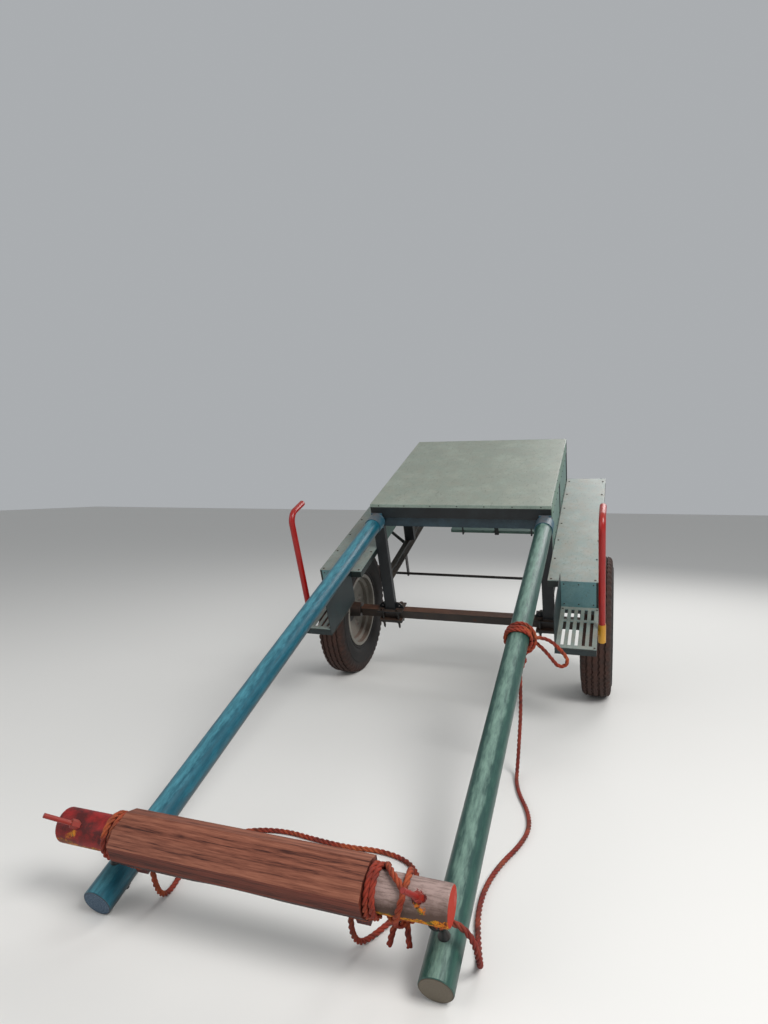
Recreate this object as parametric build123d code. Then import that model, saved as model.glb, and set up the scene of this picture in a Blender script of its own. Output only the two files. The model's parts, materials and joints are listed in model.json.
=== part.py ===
from build123d import *
from math import asin, atan2, cos, degrees, hypot, pi, radians, sin, tan
import os

# A two-wheeled bullock cart for passengers, parked with its shafts on the ground.
# Everything is drawn in the level frame first: +X forward, +Y to the cart's left, +Z up,
# with the origin on the ground under the middle of the axle, in millimetres.
# park() then leans the whole cart forward about its axle until the shaft tips touch the
# ground, and the origin moves to the bottom centre of the rigid cart's bounding box.
# Left-hand pieces are drawn once and mirrored to the right.

# Fits
seat_gap = 0.3
bearing_gap = 0.05
cut_over = 1.0
weld_overlap = 1.0

# Heights, each from the one before, so that the cart keeps together when one changes
tyre_to_footboard = 82.0
footboard_to_seat = 331.0
seat_to_shaft = 118.0
yoke_above_shaft = 180.0
axle_to_rail = 290.0
rail_to_rear_step = 240.0
footboard_to_step = 173.0

# Wheels and axle
wheel_radius = 450.0
tyre_width = 185.0
tyre_wall = 15.0
tyre_crown_drop = 9.0
tyre_shoulder_drop = 14.0
sidewall_above = 45.0
sidewall_below = 50.0
sidewall_top_inset = 4.0
sidewall_foot_inset = 9.0
tyre_lip = 5.0
bead_radius = 241.0
rim_half_width = 66.0
rim_flange_height = 17.0
rim_wall = 5.0
rim_well_depth = 24.0
rim_well_half_width = 26.0
rim_ramp = 10.0
disc_wall = 8.0
disc_offset = 30.0
disc_bore_gap = 1.0
disc_shoulder = 8.0
disc_foot = 2.0
disc_curve = 6.0
vent_radius = 21.0
vent_circle = 158.0
wheel_line = 857.0
stud_count = 5
stud_circle = 76.0
stud_radius = 7.5
nut_radius = 13.0
nut_height = 13.0
stud_past_nut = 6.0
hub_radius = 50.0
hub_inboard = 70.0
hub_outboard = 58.0
hub_flange_radius = 94.0
hub_flange_wall = 12.0
hub_cap_radius = 36.0
hub_cap_height = 24.0
hub_cap_slope = 7.0
hub_shoulder = 6.0
axle_side = 60.0
spindle_radius = 25.0
axle_end_gap = 10.0

# Rolled channel of the frame
channel_width = 75.0
channel_depth = 40.0
channel_wall = 6.0
channel_corner = 3.0

# Frame, bench and posts
post_line = 550.0
middle_post_x = -560.0
rear_face_x = -1215.0
deck_lip = 22.0
sheet_wall = 3.0
joist_places = (-330.0, -780.0)
apron_depth = 70.0
apron_wall = 4.0
apron_setback = 18.0
kick_panel_wall = 2.5
kick_panel_setback = 4.0

# Foot of each front post, clamped to the axle
foot_length = 130.0
foot_width = 180.0
foot_wall = 10.0
clamp_wall = 20.0
clamp_inset = 7.0
clamp_bolt_radius = 8.0
clamp_bolt_x = 48.0
clamp_bolt_y = 56.0
clamp_bolt_drop = 55.0
clamp_bolt_point = 14.0
clamp_nut_radius = 13.0
clamp_nut_height = 12.0
gusset_height = 46.0
gusset_wall = 8.0
gusset_hole_radius = 6.0

# Footboards, over the wheels
footboard_front_share = 0.8
footboard_width = 288.0
footboard_plate = 4.0
angle_leg = 40.0
angle_wall = 5.0
strut_width = 30.0
strut_wall = 6.0

# Slotted steps, ahead of the wheels
step_inner_y = 663.0
step_outer_y = 876.0
step_length = 410.0
step_plate = 5.0
step_frame_depth = 38.0
step_frame_wall = 6.0
slot_count = 5
slot_width = 17.0
slot_pitch = 37.0
slot_margin = 28.0
slot_bridge = 20.0
rear_slot_length = 105.0
riser_inset = 15.0
side_plate_wall = 4.0
side_plate_rise = 48.0
side_plate_corner = 60.0

# Grab rails
grab_rail_from_step = 200.0
grab_rail_radius = 18.5
grab_rail_rise = 508.0
grab_rail_bend = 65.0
grab_rail_return = 110.0
grab_rail_wall = 3.0
socket_radius = 21.5
socket_below_step = 91.0
socket_above_step = 27.0
socket_lug_margin = 4.0

# Rear step
rear_bar_side = 20.0
rear_bar_drop = 5.0
rear_step_half_width = 400.0
rear_step_depth = 300.0
rear_step_wall = 24.0
plank_gap = 2.0
plank_overhang = 12.0
plank_corner = 10.0
strap_width = 34.0
strap_wall = 8.0
rod_radius = 7.0
rod_line = 290.0

# Brake beam behind the wheels
axle_to_brake_beam = 37.0
brake_beam_radius = 10.0
brake_clearance = 12.0
brake_block_height = 98.0
brake_block_depth = 46.0
brake_block_lip = 12.0
brake_block_inner_y = 707.0
brake_block_outer_y = 822.0
brake_hanger_width = 40.0
brake_hanger_wall = 8.0
brake_plate = 8.0
brake_plate_half_height = 34.0

# Shafts and their sockets
shaft_radius = 50.0
shaft_tip_x = 2840.0
shaft_chamfer = 3.0
shaft_socket_wall = 5.0
shaft_socket_length = 95.0
shaft_socket_base = 8.0
shaft_plate_half_height = 54.0

# Yoke, which hangs a little to the right, and its stays
yoke_x = 2724.0
yoke_shift = -57.0
yoke_past_shaft = 92.0
yoke_end_radius = 54.0
yoke_end_round = 6.0
saddle_half_length = 410.0
saddle_width = 150.0
saddle_above = 68.0
saddle_below = 72.0
saddle_chamfer_run = 40.0
saddle_chamfer_drop = 27.0
saddle_taper_run = 30.0
saddle_taper_rise = 56.0
saddle_arch_radius = 300.0
saddle_arch_rise = 38.0
stay_radius = 9.0
stay_embed = 34.0
stay_collar_radius = 18.0
stay_collar_height = 26.0
stay_nut_radius = 17.0
stay_nut_height = 14.0
stay_tail = 12.0
ring_radius = 15.0
ring_wire = 5.5
ring_sink = 2.0
ring_gap = 1.0
key_line = 378.0
key_width = 57.0
key_thickness = 42.0
key_drop = 66.0
key_embed = 36.0
pin_radius = 7.5
pin_length = 106.0
pin_embed = 30.0
pin_nut_radius = 14.5
pin_nut_height = 18.0
pin_from_end = 79.0
pin_roll = 30.0
pin_leans = {1: 10.0, -1: 33.0}

# Ropes
rope_radius = 9.5
rope_turn_gap = 0.4
shoulder_turns = 2
knot_radius = 24.0
knot_length = 70.0
knot_sink = 4.0
lash_x = 1250.0
lash_turns = 3
lash_knot_radius = 31.0
lash_knot_drop = 100.0
lash_knot_sink = 5.0
tie_rises = {"lead": 4.0, "tail_start": 42.0, "tail_end": 70.0}
loop_sink = 7.5
loop_shift = {"start": -6.0, "end": -20.0}
loop_drop = {"start": 0.0, "end": 26.0}

# Places that follow from the sizes above
footboard_top = 2 * wheel_radius + tyre_to_footboard
seat_height = footboard_top + footboard_to_seat
shaft_height = seat_height - seat_to_shaft
yoke_height = shaft_height + yoke_above_shaft
lower_rail_top = wheel_radius + axle_to_rail
rear_step_top = lower_rail_top - rail_to_rear_step
step_top = footboard_top - footboard_to_step
footboard_front_x = footboard_front_share * wheel_radius
step_front_x = footboard_front_x + step_length
side_plate_top = footboard_top + side_plate_rise
grab_rail_x = footboard_front_x + grab_rail_from_step
grab_rail_top = footboard_top + grab_rail_rise
socket_bottom = step_top - socket_below_step
socket_top = step_top + socket_above_step
brake_beam_z = wheel_radius + axle_to_brake_beam
yoke_half_length = post_line + yoke_past_shaft
rope_pitch = 2 * rope_radius + rope_turn_gap
shoulder_end = yoke_shift + saddle_half_length + shoulder_turns * rope_pitch
left_pin_y = yoke_shift + yoke_half_length - pin_from_end
loop_turn_y = (shoulder_end + left_pin_y) / 2
frame_half = post_line + channel_width / 2
post_front_x = channel_width / 2
post_back_x = post_front_x - channel_depth
beam_top = seat_height - deck_lip
beam_bottom = beam_top - channel_width
axle_z = wheel_radius
axle_top = axle_z + axle_side / 2
axle_bottom = axle_z - axle_side / 2
foot_top = axle_top + foot_wall
frame_line_top = footboard_top - footboard_plate
step_frame_top = step_top - step_plate
step_frame_bottom = step_frame_top - step_frame_depth
rail_line = step_outer_y + socket_radius + seat_gap


def solid_box(x, y, z):
    """Box from three (low, high) pairs."""
    size = [high - low for low, high in (x, y, z)]
    middle = [(low + high) / 2 for low, high in (x, y, z)]
    return Pos(*middle) * Box(*size)


def rod(start, end, radius):
    """Round bar between two points."""
    direction = Vector(*end) - Vector(*start)
    plane = Plane(origin=start, z_dir=direction)
    return extrude(plane * Circle(radius), amount=direction.length)


def bar(section, start, along, outward):
    """Section swept straight from start by the vector along, its +Y side looking outward."""
    direction = Vector(*along)
    plane = Plane(origin=start, x_dir=Vector(*outward).cross(direction), z_dir=direction)
    return extrude(plane * section, amount=direction.length)


def channel_section():
    """Rolled channel: web face on the X axis, flanges pointing to -Y, rounded outer corners."""
    outer = Pos(0, -channel_depth / 2) * Rectangle(channel_width, channel_depth)
    hollow_width = channel_width - 2 * channel_wall
    hollow_depth = channel_depth - channel_wall
    hollow = Pos(0, -channel_wall - hollow_depth / 2) * Rectangle(hollow_width, hollow_depth)
    section = outer - hollow
    corners = section.vertices().group_by(Axis.Y)[-1]
    return fillet(corners, channel_corner)


def channel(start, along, outward):
    """Length of rolled channel, its web face centred on the line from start."""
    return bar(channel_section(), start, along, outward)


def angle_section():
    """Equal angle: one leg down from the origin along -Y, one leg along +X."""
    leg = Pos(angle_leg / 2, -angle_wall / 2) * Rectangle(angle_leg, angle_wall)
    web = Pos(angle_wall / 2, -angle_leg / 2) * Rectangle(angle_wall, angle_leg)
    return leg + web


def tyre():
    """Hollow tyre about the Y axis, centred on the origin."""
    half = tyre_width / 2
    shoulder = (wheel_radius - tyre_crown_drop, half * 0.80)
    bulge = ((wheel_radius + bead_radius) / 2, half)
    flange_face = rim_half_width - seat_gap
    lip = (bead_radius + rim_flange_height + tyre_lip, flange_face)
    heel = (bead_radius + seat_gap, flange_face)
    inner_crown = wheel_radius - tyre_wall
    inner_bulge = (bulge[0], half - tyre_wall)
    inner_shoulder = (inner_crown - 0.8 * tyre_wall, half * 0.62)
    inner_flank = (inner_crown - 0.2 * tyre_wall, half * 0.35)
    wall_top = (bulge[0] + sidewall_above, half - sidewall_top_inset)
    wall_foot = (bulge[0] - sidewall_below, half - sidewall_foot_inset)
    toe = (bead_radius + seat_gap, flange_face - tyre_wall)
    crown = wheel_radius - tyre_crown_drop * 0.25
    upper = [
        ThreePointArc((wheel_radius, 0), (crown, half * 0.42), shoulder),
        ThreePointArc(shoulder, (shoulder[0] - tyre_shoulder_drop, half * 0.91), wall_top),
        ThreePointArc(wall_top, bulge, wall_foot),
        Line(wall_foot, lip),
        Line(lip, heel),
        Line(heel, toe),
        ThreePointArc(toe, inner_bulge, inner_shoulder),
        ThreePointArc(inner_shoulder, inner_flank, (inner_crown, 0)),
        Line((inner_crown, 0), (wheel_radius, 0)),
    ]
    half_section = make_face(upper)
    half_tyre = revolve(half_section, Axis.Y)
    return half_tyre + mirror(half_tyre, Plane.XZ)


def rim():
    """Drop-centre rim with its dished disc, about the Y axis; the disc stands outboard, to +Y."""
    seat, edge = bead_radius, rim_half_width
    well = bead_radius - rim_well_depth
    outline = [
        (seat + rim_flange_height, edge + rim_wall),
        (seat + rim_flange_height, edge),
        (seat, edge),
        (seat, rim_well_half_width + rim_ramp),
        (well, rim_well_half_width),
    ]
    below = [
        (well - rim_wall, rim_well_half_width + rim_wall / 2),
        (seat - rim_wall, rim_well_half_width + rim_ramp + rim_wall / 2),
        (seat - rim_wall, edge + rim_wall),
    ]
    top = outline + [(r, -y) for r, y in reversed(outline)]
    under = [(r, -y) for r, y in reversed(below)] + below
    band = revolve(make_face(Polyline(*top, *under, close=True)), Axis.Y)
    well_face = well - rim_wall
    hub_hole = hub_radius + disc_bore_gap
    shoulder_radius = hub_flange_radius + disc_shoulder
    dish = Polyline(
        (hub_hole, disc_offset),
        (shoulder_radius, disc_offset),
        (well_face, -disc_wall / 2),
        (well_face, disc_wall / 2 + disc_foot),
        (shoulder_radius + disc_curve, disc_offset + disc_wall),
        (hub_hole, disc_offset + disc_wall),
        close=True,
    )
    disc = revolve(make_face(dish), Axis.Y)
    for count in range(stud_count):
        turn = Rot(0, 360 * count / stud_count, 0)
        disc -= turn * rod((stud_circle, 0, 0), (stud_circle, 2 * disc_offset, 0), stud_radius + seat_gap)
        turn = Rot(0, 360 * (count + 0.5) / stud_count, 0)
        disc -= turn * rod((vent_circle, -disc_offset, 0), (vent_circle, 2 * disc_offset, 0), vent_radius)
    return band + disc


def hub():
    """Hub with its flange, studs, nuts and grease cap, about the Y axis; outboard is +Y."""
    nose = hub_outboard + hub_cap_height
    profile = Polyline(
        (0, nose),
        (hub_cap_radius * 0.7, nose),
        (hub_cap_radius, nose - hub_cap_slope),
        (hub_cap_radius, hub_outboard),
        (hub_radius, hub_outboard),
        (hub_radius, disc_offset - seat_gap),
        (hub_flange_radius, disc_offset - seat_gap),
        (hub_flange_radius, disc_offset - hub_flange_wall),
        (hub_radius + hub_shoulder, disc_offset - hub_flange_wall),
        (hub_radius, -hub_inboard),
        (spindle_radius + bearing_gap, -hub_inboard),
        (spindle_radius + bearing_gap, hub_outboard + hub_shoulder),
        (0, hub_outboard + hub_shoulder),
        close=True,
    )
    body = revolve(make_face(profile), Axis.Y)
    disc_face = disc_offset + disc_wall
    for count in range(stud_count):
        turn = Rot(0, 360 * count / stud_count, 0)
        stud_end = disc_face + nut_height + stud_past_nut
        stud = rod((stud_circle, disc_offset - weld_overlap, 0), (stud_circle, stud_end, 0), stud_radius)
        nut_plane = Plane(origin=(stud_circle, disc_face, 0), z_dir=(0, 1, 0))
        nut = extrude(nut_plane * RegularPolygon(nut_radius, 6), amount=nut_height)
        body += turn * (stud + nut)
    return body


def axle():
    """Square axle with a round spindle at each end."""
    square_half = wheel_line - hub_inboard - axle_end_gap
    spindle_half = wheel_line + hub_outboard
    half_side = axle_side / 2
    beam = solid_box(
        (-half_side, half_side), (-square_half, square_half), (axle_bottom, axle_top)
    )
    spindles = rod((0, -spindle_half, axle_z), (0, spindle_half, axle_z), spindle_radius)
    return beam + spindles


def clamp_bolt_places():
    """Centres of the four clamp bolts, in plan."""
    return [
        (x, post_line + y)
        for x in (-clamp_bolt_x, clamp_bolt_x)
        for y in (-clamp_bolt_y, clamp_bolt_y)
    ]


def front_post():
    """Front post with its foot plate on the axle and a drilled gusset on each side."""
    post = channel((post_front_x, post_line, foot_top), (0, 0, beam_bottom - foot_top), (1, 0, 0))
    foot = solid_box(
        (-foot_length / 2, foot_length / 2),
        (post_line - foot_width / 2, post_line + foot_width / 2),
        (axle_top, foot_top),
    )
    for x, y in clamp_bolt_places():
        low, high = axle_top - cut_over, foot_top + cut_over
        foot -= rod((x, y, low), (x, y, high), clamp_bolt_radius + seat_gap)
    gusset_reach = (foot_width - channel_width) / 2
    gusset_plane = Plane(origin=(gusset_wall / 2, 0, foot_top), x_dir=(0, 1, 0), z_dir=(1, 0, 0))
    shape = []
    for side in (-1, 1):
        root = post_line + side * channel_width / 2
        tip = root + side * gusset_reach
        knee = (root + side * gusset_reach * 0.72, gusset_height * 0.70)
        outline = [
            Line((root, 0), (root, gusset_height)),
            ThreePointArc((root, gusset_height), knee, (tip, 0)),
            Line((tip, 0), (root, 0)),
        ]
        hole = Pos(root + side * gusset_reach * 0.45, gusset_height * 0.42) * Circle(gusset_hole_radius)
        shape.append(make_face(outline) - hole)
    gussets = [extrude(gusset_plane * face, amount=gusset_wall) for face in shape]
    return post + foot + gussets[0] + gussets[1]


def axle_clamp():
    """Plate under the axle with the four bolts that hold the post's foot down on it."""
    plate_top = axle_bottom
    plate_bottom = axle_bottom - clamp_wall
    clamp = solid_box(
        (-foot_length / 2, foot_length / 2),
        (post_line - foot_width / 2 + clamp_inset, post_line + foot_width / 2 - clamp_inset),
        (plate_bottom, plate_top),
    )
    for x, y in clamp_bolt_places():
        tip = plate_bottom - clamp_bolt_drop
        shank = rod((x, y, tip + clamp_bolt_point), (x, y, foot_top + clamp_nut_height), clamp_bolt_radius)
        point = Pos(x, y, tip + clamp_bolt_point / 2) * Cone(
            clamp_bolt_radius * 0.45, clamp_bolt_radius, clamp_bolt_point
        )
        hexagon = RegularPolygon(clamp_nut_radius, 6)
        head = extrude(Pos(x, y, foot_top) * hexagon, amount=clamp_nut_height)
        nut = extrude(Pos(x, y, plate_bottom - clamp_nut_height) * hexagon, amount=clamp_nut_height)
        clamp += shank + point + head + nut
    return clamp


def rear_posts():
    """Middle and rear posts of one side, standing on the lower rail."""
    rise = beam_bottom - lower_rail_top
    middle = channel((middle_post_x, post_line, lower_rail_top), (0, 0, rise), (1, 0, 0))
    rear = channel((rear_face_x, post_line, lower_rail_top), (0, 0, rise), (-1, 0, 0))
    return Compound([middle, rear])


def lower_rail():
    """Rail along the foot of one side, from the front post to the rear step."""
    middle_z = lower_rail_top - channel_width / 2
    return channel((rear_face_x, frame_half, middle_z), (post_back_x - rear_face_x, 0, 0), (0, 1, 0))


def side_beam():
    """Beam along one long side of the bench."""
    middle_z = (beam_top + beam_bottom) / 2
    start_x = rear_face_x + channel_depth
    return channel((start_x, frame_half, middle_z), (post_back_x - start_x, 0, 0), (0, 1, 0))


def end_beam(face_x, outward_x):
    """Beam across the bench, over the posts; its web faces along outward_x."""
    middle_z = (beam_top + beam_bottom) / 2
    return channel((face_x, -frame_half, middle_z), (0, 2 * frame_half, 0), (outward_x, 0, 0))


def bench_joists():
    """Angle joists under the seat deck, between the side beams."""
    half = frame_half - channel_depth
    joists = [
        bar(angle_section(), (x, -half, beam_top), (0, 2 * half, 0), (0, 0, 1)) for x in joist_places
    ]
    return Compound(joists)


def front_apron():
    """Plate between the front posts, hung under the front beam."""
    half = frame_half - channel_width
    front = post_front_x - apron_setback
    return solid_box((front - apron_wall, front), (-half, half), (beam_bottom - apron_depth, beam_bottom))


def seat_deck():
    """Folded sheet seat: a flat top with a lip down all round that stands on the beams."""
    outer = solid_box((rear_face_x, post_front_x), (-frame_half, frame_half), (beam_top, seat_height))
    inner = solid_box(
        (rear_face_x + sheet_wall, post_front_x - sheet_wall),
        (-frame_half + sheet_wall, frame_half - sheet_wall),
        (beam_top, seat_height - sheet_wall),
    )
    top_edges = outer.edges().group_by(Axis.Z)[-1]
    return fillet(top_edges, sheet_wall) - inner


def kick_panels():
    """Sheet panels of one side, between the posts from the seat beam to the footboard."""
    face = frame_half - kick_panel_setback
    bays = [
        (middle_post_x, post_back_x),
        (rear_face_x + channel_depth, middle_post_x - channel_depth),
    ]
    height = (footboard_top - angle_leg, beam_bottom)
    return Compound([solid_box(bay, (face - kick_panel_wall, face), height) for bay in bays])


def footboard_frame():
    """Angle frame of one footboard, two struts to the lower rail and a hanger for the step."""
    inner, outer = frame_half, frame_half + footboard_width
    length = footboard_front_x - rear_face_x
    section = angle_section()
    top = frame_line_top
    frame = bar(section, (footboard_front_x, outer, top), (-length, 0, 0), (0, 0, 1))
    frame += bar(section, (rear_face_x, inner, top), (length, 0, 0), (0, 0, 1))
    frame += bar(section, (footboard_front_x, inner, top), (0, footboard_width, 0), (0, 0, 1))
    for x in (rear_face_x, middle_post_x):
        frame += bar(section, (x, outer, top), (0, -footboard_width, 0), (0, 0, 1))
    strut_foot_z = lower_rail_top - channel_width / 2
    for x in (middle_post_x, rear_face_x):
        strut_plane = Plane(origin=(x, 0, 0), x_dir=(0, 1, 0), z_dir=(1, 0, 0))
        strut = Polyline(
            (inner, strut_foot_z),
            (inner + strut_wall, strut_foot_z),
            (outer - angle_wall, top - angle_wall),
            (outer - angle_wall - strut_width, top - angle_wall),
            (inner, strut_foot_z + strut_width),
            close=True,
        )
        frame += extrude(strut_plane * make_face(strut), amount=strut_wall)
    frame += solid_box(
        (footboard_front_x - strut_wall, footboard_front_x),
        (outer - strut_width, outer),
        (step_frame_bottom, top - angle_wall),
    )
    return frame


def footboard_deck():
    """Chequer plate of one footboard, around the posts' outer faces."""
    return solid_box(
        (rear_face_x, footboard_front_x),
        (frame_half, frame_half + footboard_width),
        (frame_line_top, footboard_top),
    )


def step_frame():
    """Flat-bar frame of one front step with its tall inner side plate."""
    back = footboard_front_x
    depth = (step_frame_bottom, step_frame_top)
    wall = step_frame_wall
    frame = solid_box((back, step_front_x), (step_outer_y - wall, step_outer_y), depth)
    frame += solid_box((step_front_x - wall, step_front_x), (step_inner_y, step_outer_y), depth)
    frame += solid_box((back, back + wall), (step_inner_y, step_outer_y), depth)
    plate_plane = Plane(origin=(0, step_inner_y, 0), x_dir=(1, 0, 0), z_dir=(0, -1, 0))
    outline = [
        Line((back, step_frame_bottom), (back, side_plate_top)),
        Line((back, side_plate_top), (step_front_x - side_plate_corner, side_plate_top)),
        RadiusArc(
            (step_front_x - side_plate_corner, side_plate_top),
            (step_front_x, side_plate_top - side_plate_corner),
            side_plate_corner,
        ),
        Line((step_front_x, side_plate_top - side_plate_corner), (step_front_x, step_frame_bottom)),
        Line((step_front_x, step_frame_bottom), (back, step_frame_bottom)),
    ]
    side_plate = extrude(plate_plane * make_face(outline), amount=side_plate_wall)
    return frame + side_plate


def step_tread():
    """Slotted tread plate of one front step; a bridge splits each slot in two."""
    back = footboard_front_x
    tread = solid_box((back, step_front_x), (step_inner_y, step_outer_y), (step_frame_top, step_top))
    middle_y = (step_inner_y + step_outer_y) / 2
    front_slot = (back + rear_slot_length + slot_margin + slot_bridge, step_front_x - slot_margin)
    rear_slot = (back + slot_margin, back + slot_margin + rear_slot_length)
    for count in range(slot_count):
        y = middle_y + (count - (slot_count - 1) / 2) * slot_pitch
        for low, high in (front_slot, rear_slot):
            tread -= solid_box(
                (low, high),
                (y - slot_width / 2, y + slot_width / 2),
                (step_frame_top - cut_over, step_top + cut_over),
            )
    return tread


def step_riser():
    """Riser panel between the step and the footboard's edge, on the frame's front face."""
    back = footboard_front_x
    return solid_box(
        (back, back + sheet_wall),
        (step_inner_y, step_outer_y - riser_inset),
        (step_top, footboard_top),
    )


def grab_rail():
    """Bent pipe with a short return to the rear."""
    bend_z = grab_rail_top - grab_rail_radius - grab_rail_bend
    top_z = grab_rail_top - grab_rail_radius
    path = [
        Line((grab_rail_x, rail_line, socket_bottom), (grab_rail_x, rail_line, bend_z)),
        ThreePointArc(
            (grab_rail_x, rail_line, bend_z),
            (
                grab_rail_x - grab_rail_bend * (1 - cos(pi / 4)),
                rail_line,
                bend_z + grab_rail_bend * sin(pi / 4),
            ),
            (grab_rail_x - grab_rail_bend, rail_line, top_z),
        ),
        Line(
            (grab_rail_x - grab_rail_bend, rail_line, top_z),
            (grab_rail_x - grab_rail_bend - grab_rail_return, rail_line, top_z),
        ),
    ]
    ring = Circle(grab_rail_radius) - Circle(grab_rail_radius - grab_rail_wall)
    return sweep(Plane(origin=(grab_rail_x, rail_line, socket_bottom)) * ring, path=Wire(path))


def grab_rail_socket():
    """Sleeve that grips the grab rail's foot, with its lug on the step frame."""
    foot, head = (grab_rail_x, rail_line, socket_bottom), (grab_rail_x, rail_line, socket_top)
    sleeve = rod(foot, head, socket_radius)
    lug_half = socket_radius * 0.6
    lug = solid_box(
        (grab_rail_x - lug_half, grab_rail_x + lug_half),
        (step_outer_y, rail_line),
        (step_frame_bottom + socket_lug_margin, step_frame_top - socket_lug_margin),
    )
    return sleeve + lug - rod(foot, head, grab_rail_radius + bearing_gap)


def rear_step_hangers():
    """Bar across the lower rails' ends with a flat strap and two rods that carry the rear step."""
    bar_top = lower_rail_top - rear_bar_drop
    bar_rear = rear_face_x - rear_bar_side
    leg_bottom = rear_step_top - rear_step_wall - strap_wall
    hangers = solid_box(
        (bar_rear, rear_face_x), (-frame_half, frame_half), (bar_top - rear_bar_side, bar_top)
    )
    strap_front = bar_rear + (rear_bar_side - strap_wall) / 2
    strap_half = strap_width / 2
    hangers += solid_box(
        (strap_front, strap_front + strap_wall),
        (-strap_half, strap_half),
        (leg_bottom, bar_top - weld_overlap),
    )
    leg_end = rear_face_x - rear_step_depth
    hangers += solid_box(
        (leg_end, strap_front + strap_wall), (-strap_half, strap_half), (leg_bottom, leg_bottom + strap_wall)
    )
    rod_x = strap_front + strap_wall / 2
    rod_z = leg_bottom + strap_wall - rod_radius
    for side in (-1, 1):
        y = side * rod_line
        hangers += rod((rod_x, y, rod_z), (rod_x, y, bar_top - rear_bar_side / 2), rod_radius)
        hangers += rod((leg_end, y, rod_z), (rod_x, y, rod_z), rod_radius)
        hangers += Pos(rod_x, y, rod_z) * Sphere(rod_radius)
    return hangers


def rear_step_plank():
    """Plank of the rear step, on the hangers' legs and behind their uprights."""
    front = rear_face_x - rear_bar_side - plank_gap
    plank = solid_box(
        (rear_face_x - rear_step_depth - plank_overhang, front),
        (-rear_step_half_width, rear_step_half_width),
        (rear_step_top - rear_step_wall, rear_step_top),
    )
    return fillet(plank.edges().filter_by(Axis.Z), plank_corner)


def brake_beam_x():
    """Place of the brake beam, which keeps the blocks clear of the tyres."""
    reach = wheel_radius + brake_clearance
    return -reach - brake_block_depth / 2


def brake_hanger():
    """Flat hanger of one side, from the lower rail to a round eye about the brake beam."""
    x, z = brake_beam_x(), brake_beam_z
    y = frame_half - channel_depth / 2
    near, far = y - brake_hanger_wall / 2, y + brake_hanger_wall / 2
    half = brake_hanger_width / 2
    hanger = solid_box((x - half, x + half), (near, far), (z, lower_rail_top - channel_width))
    hanger += rod((x, near, z), (x, far, z), half)
    return hanger - rod((x, near - cut_over, z), (x, far + cut_over, z), brake_beam_radius + bearing_gap)


def brake_beam():
    """Round brake beam with an end plate for each block."""
    x, z = brake_beam_x(), brake_beam_z
    end = brake_block_inner_y - brake_plate
    beam = rod((x, -end, z), (x, end, z), brake_beam_radius)
    for side in (-1, 1):
        near, far = sorted((side * end, side * brake_block_inner_y))
        plate_half = brake_block_depth / 2
        height = (z - brake_plate_half_height, z + brake_plate_half_height)
        beam += solid_box((x - plate_half, x + plate_half), (near, far), height)
    return beam


def brake_block():
    """Wooden brake block of one side, hollowed to the tyre's curve and standing clear of it."""
    x = brake_beam_x()
    half = brake_block_depth / 2
    near, far = brake_block_inner_y, brake_block_outer_y
    block = solid_box(
        (x - half, x + half + brake_block_lip),
        (near, far),
        (brake_beam_z - brake_block_height / 2, brake_beam_z + brake_block_height / 2),
    )
    curve = wheel_radius + brake_clearance
    return block - rod((0, near - cut_over, axle_z), (0, far + cut_over, axle_z), curve)


def shaft():
    """Round timber shaft, drilled near its tip for the yoke stay."""
    start = post_front_x + shaft_socket_base
    pole = rod((start, post_line, shaft_height), (shaft_tip_x, post_line, shaft_height), shaft_radius)
    pole = chamfer(pole.edges().group_by(Axis.X)[-1], shaft_chamfer)
    hole = rod(
        (yoke_x, post_line, shaft_height - 2 * shaft_radius),
        (yoke_x, post_line, shaft_height + 2 * shaft_radius),
        stay_radius + seat_gap,
    )
    return pole - hole


def shaft_socket():
    """Steel sleeve on a base plate that holds the shaft against the post and front beam."""
    base_x = post_front_x + shaft_socket_base
    plate = solid_box(
        (post_front_x, base_x),
        (post_line - channel_width / 2, frame_half),
        (shaft_height - shaft_plate_half_height, shaft_height + shaft_plate_half_height),
    )
    start = (base_x, post_line, shaft_height)
    end = (base_x + shaft_socket_length, post_line, shaft_height)
    sleeve = rod(start, end, shaft_radius + seat_gap + shaft_socket_wall)
    sleeve -= rod(start, end, shaft_radius + seat_gap)
    return plate + sleeve


def yoke_beam():
    """Yoke timber: a chamfered saddle block with a carved arch, and a round turned end each side."""
    low, high = yoke_shift - yoke_half_length, yoke_shift + yoke_half_length
    round_ends = rod((yoke_x, low, yoke_height), (yoke_x, high, yoke_height), yoke_end_radius)
    round_ends = fillet(round_ends.edges().filter_by(GeomType.CIRCLE), yoke_end_round)
    half = saddle_width / 2
    start = (yoke_x, yoke_shift - saddle_half_length, yoke_height)
    section_plane = Plane(origin=start, x_dir=(1, 0, 0), z_dir=(0, -1, 0))
    section = Polyline(
        (-half, -saddle_below + saddle_taper_rise),
        (-half, saddle_above - saddle_chamfer_drop),
        (-half + saddle_chamfer_run, saddle_above),
        (half - saddle_chamfer_run, saddle_above),
        (half, saddle_above - saddle_chamfer_drop),
        (half, -saddle_below + saddle_taper_rise),
        (half - saddle_taper_run, -saddle_below),
        (-half + saddle_taper_run, -saddle_below),
        close=True,
    )
    block = extrude(section_plane * make_face(section), amount=-2 * saddle_half_length)
    arch_z = yoke_height - saddle_below + saddle_arch_rise - saddle_arch_radius
    block -= rod(
        (yoke_x - saddle_width, yoke_shift, arch_z),
        (yoke_x + saddle_width, yoke_shift, arch_z),
        saddle_arch_radius,
    )
    beam = round_ends + block
    for side in (-1, 1):
        beam -= yoke_key(side, seat_gap) + yoke_pin(side, seat_gap)
        y = side * post_line
        beam -= rod(
            (yoke_x, y, yoke_height - 2 * yoke_end_radius),
            (yoke_x, y, yoke_height - yoke_end_radius + stay_embed + seat_gap),
            stay_radius + seat_gap,
        )
    return beam


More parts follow.
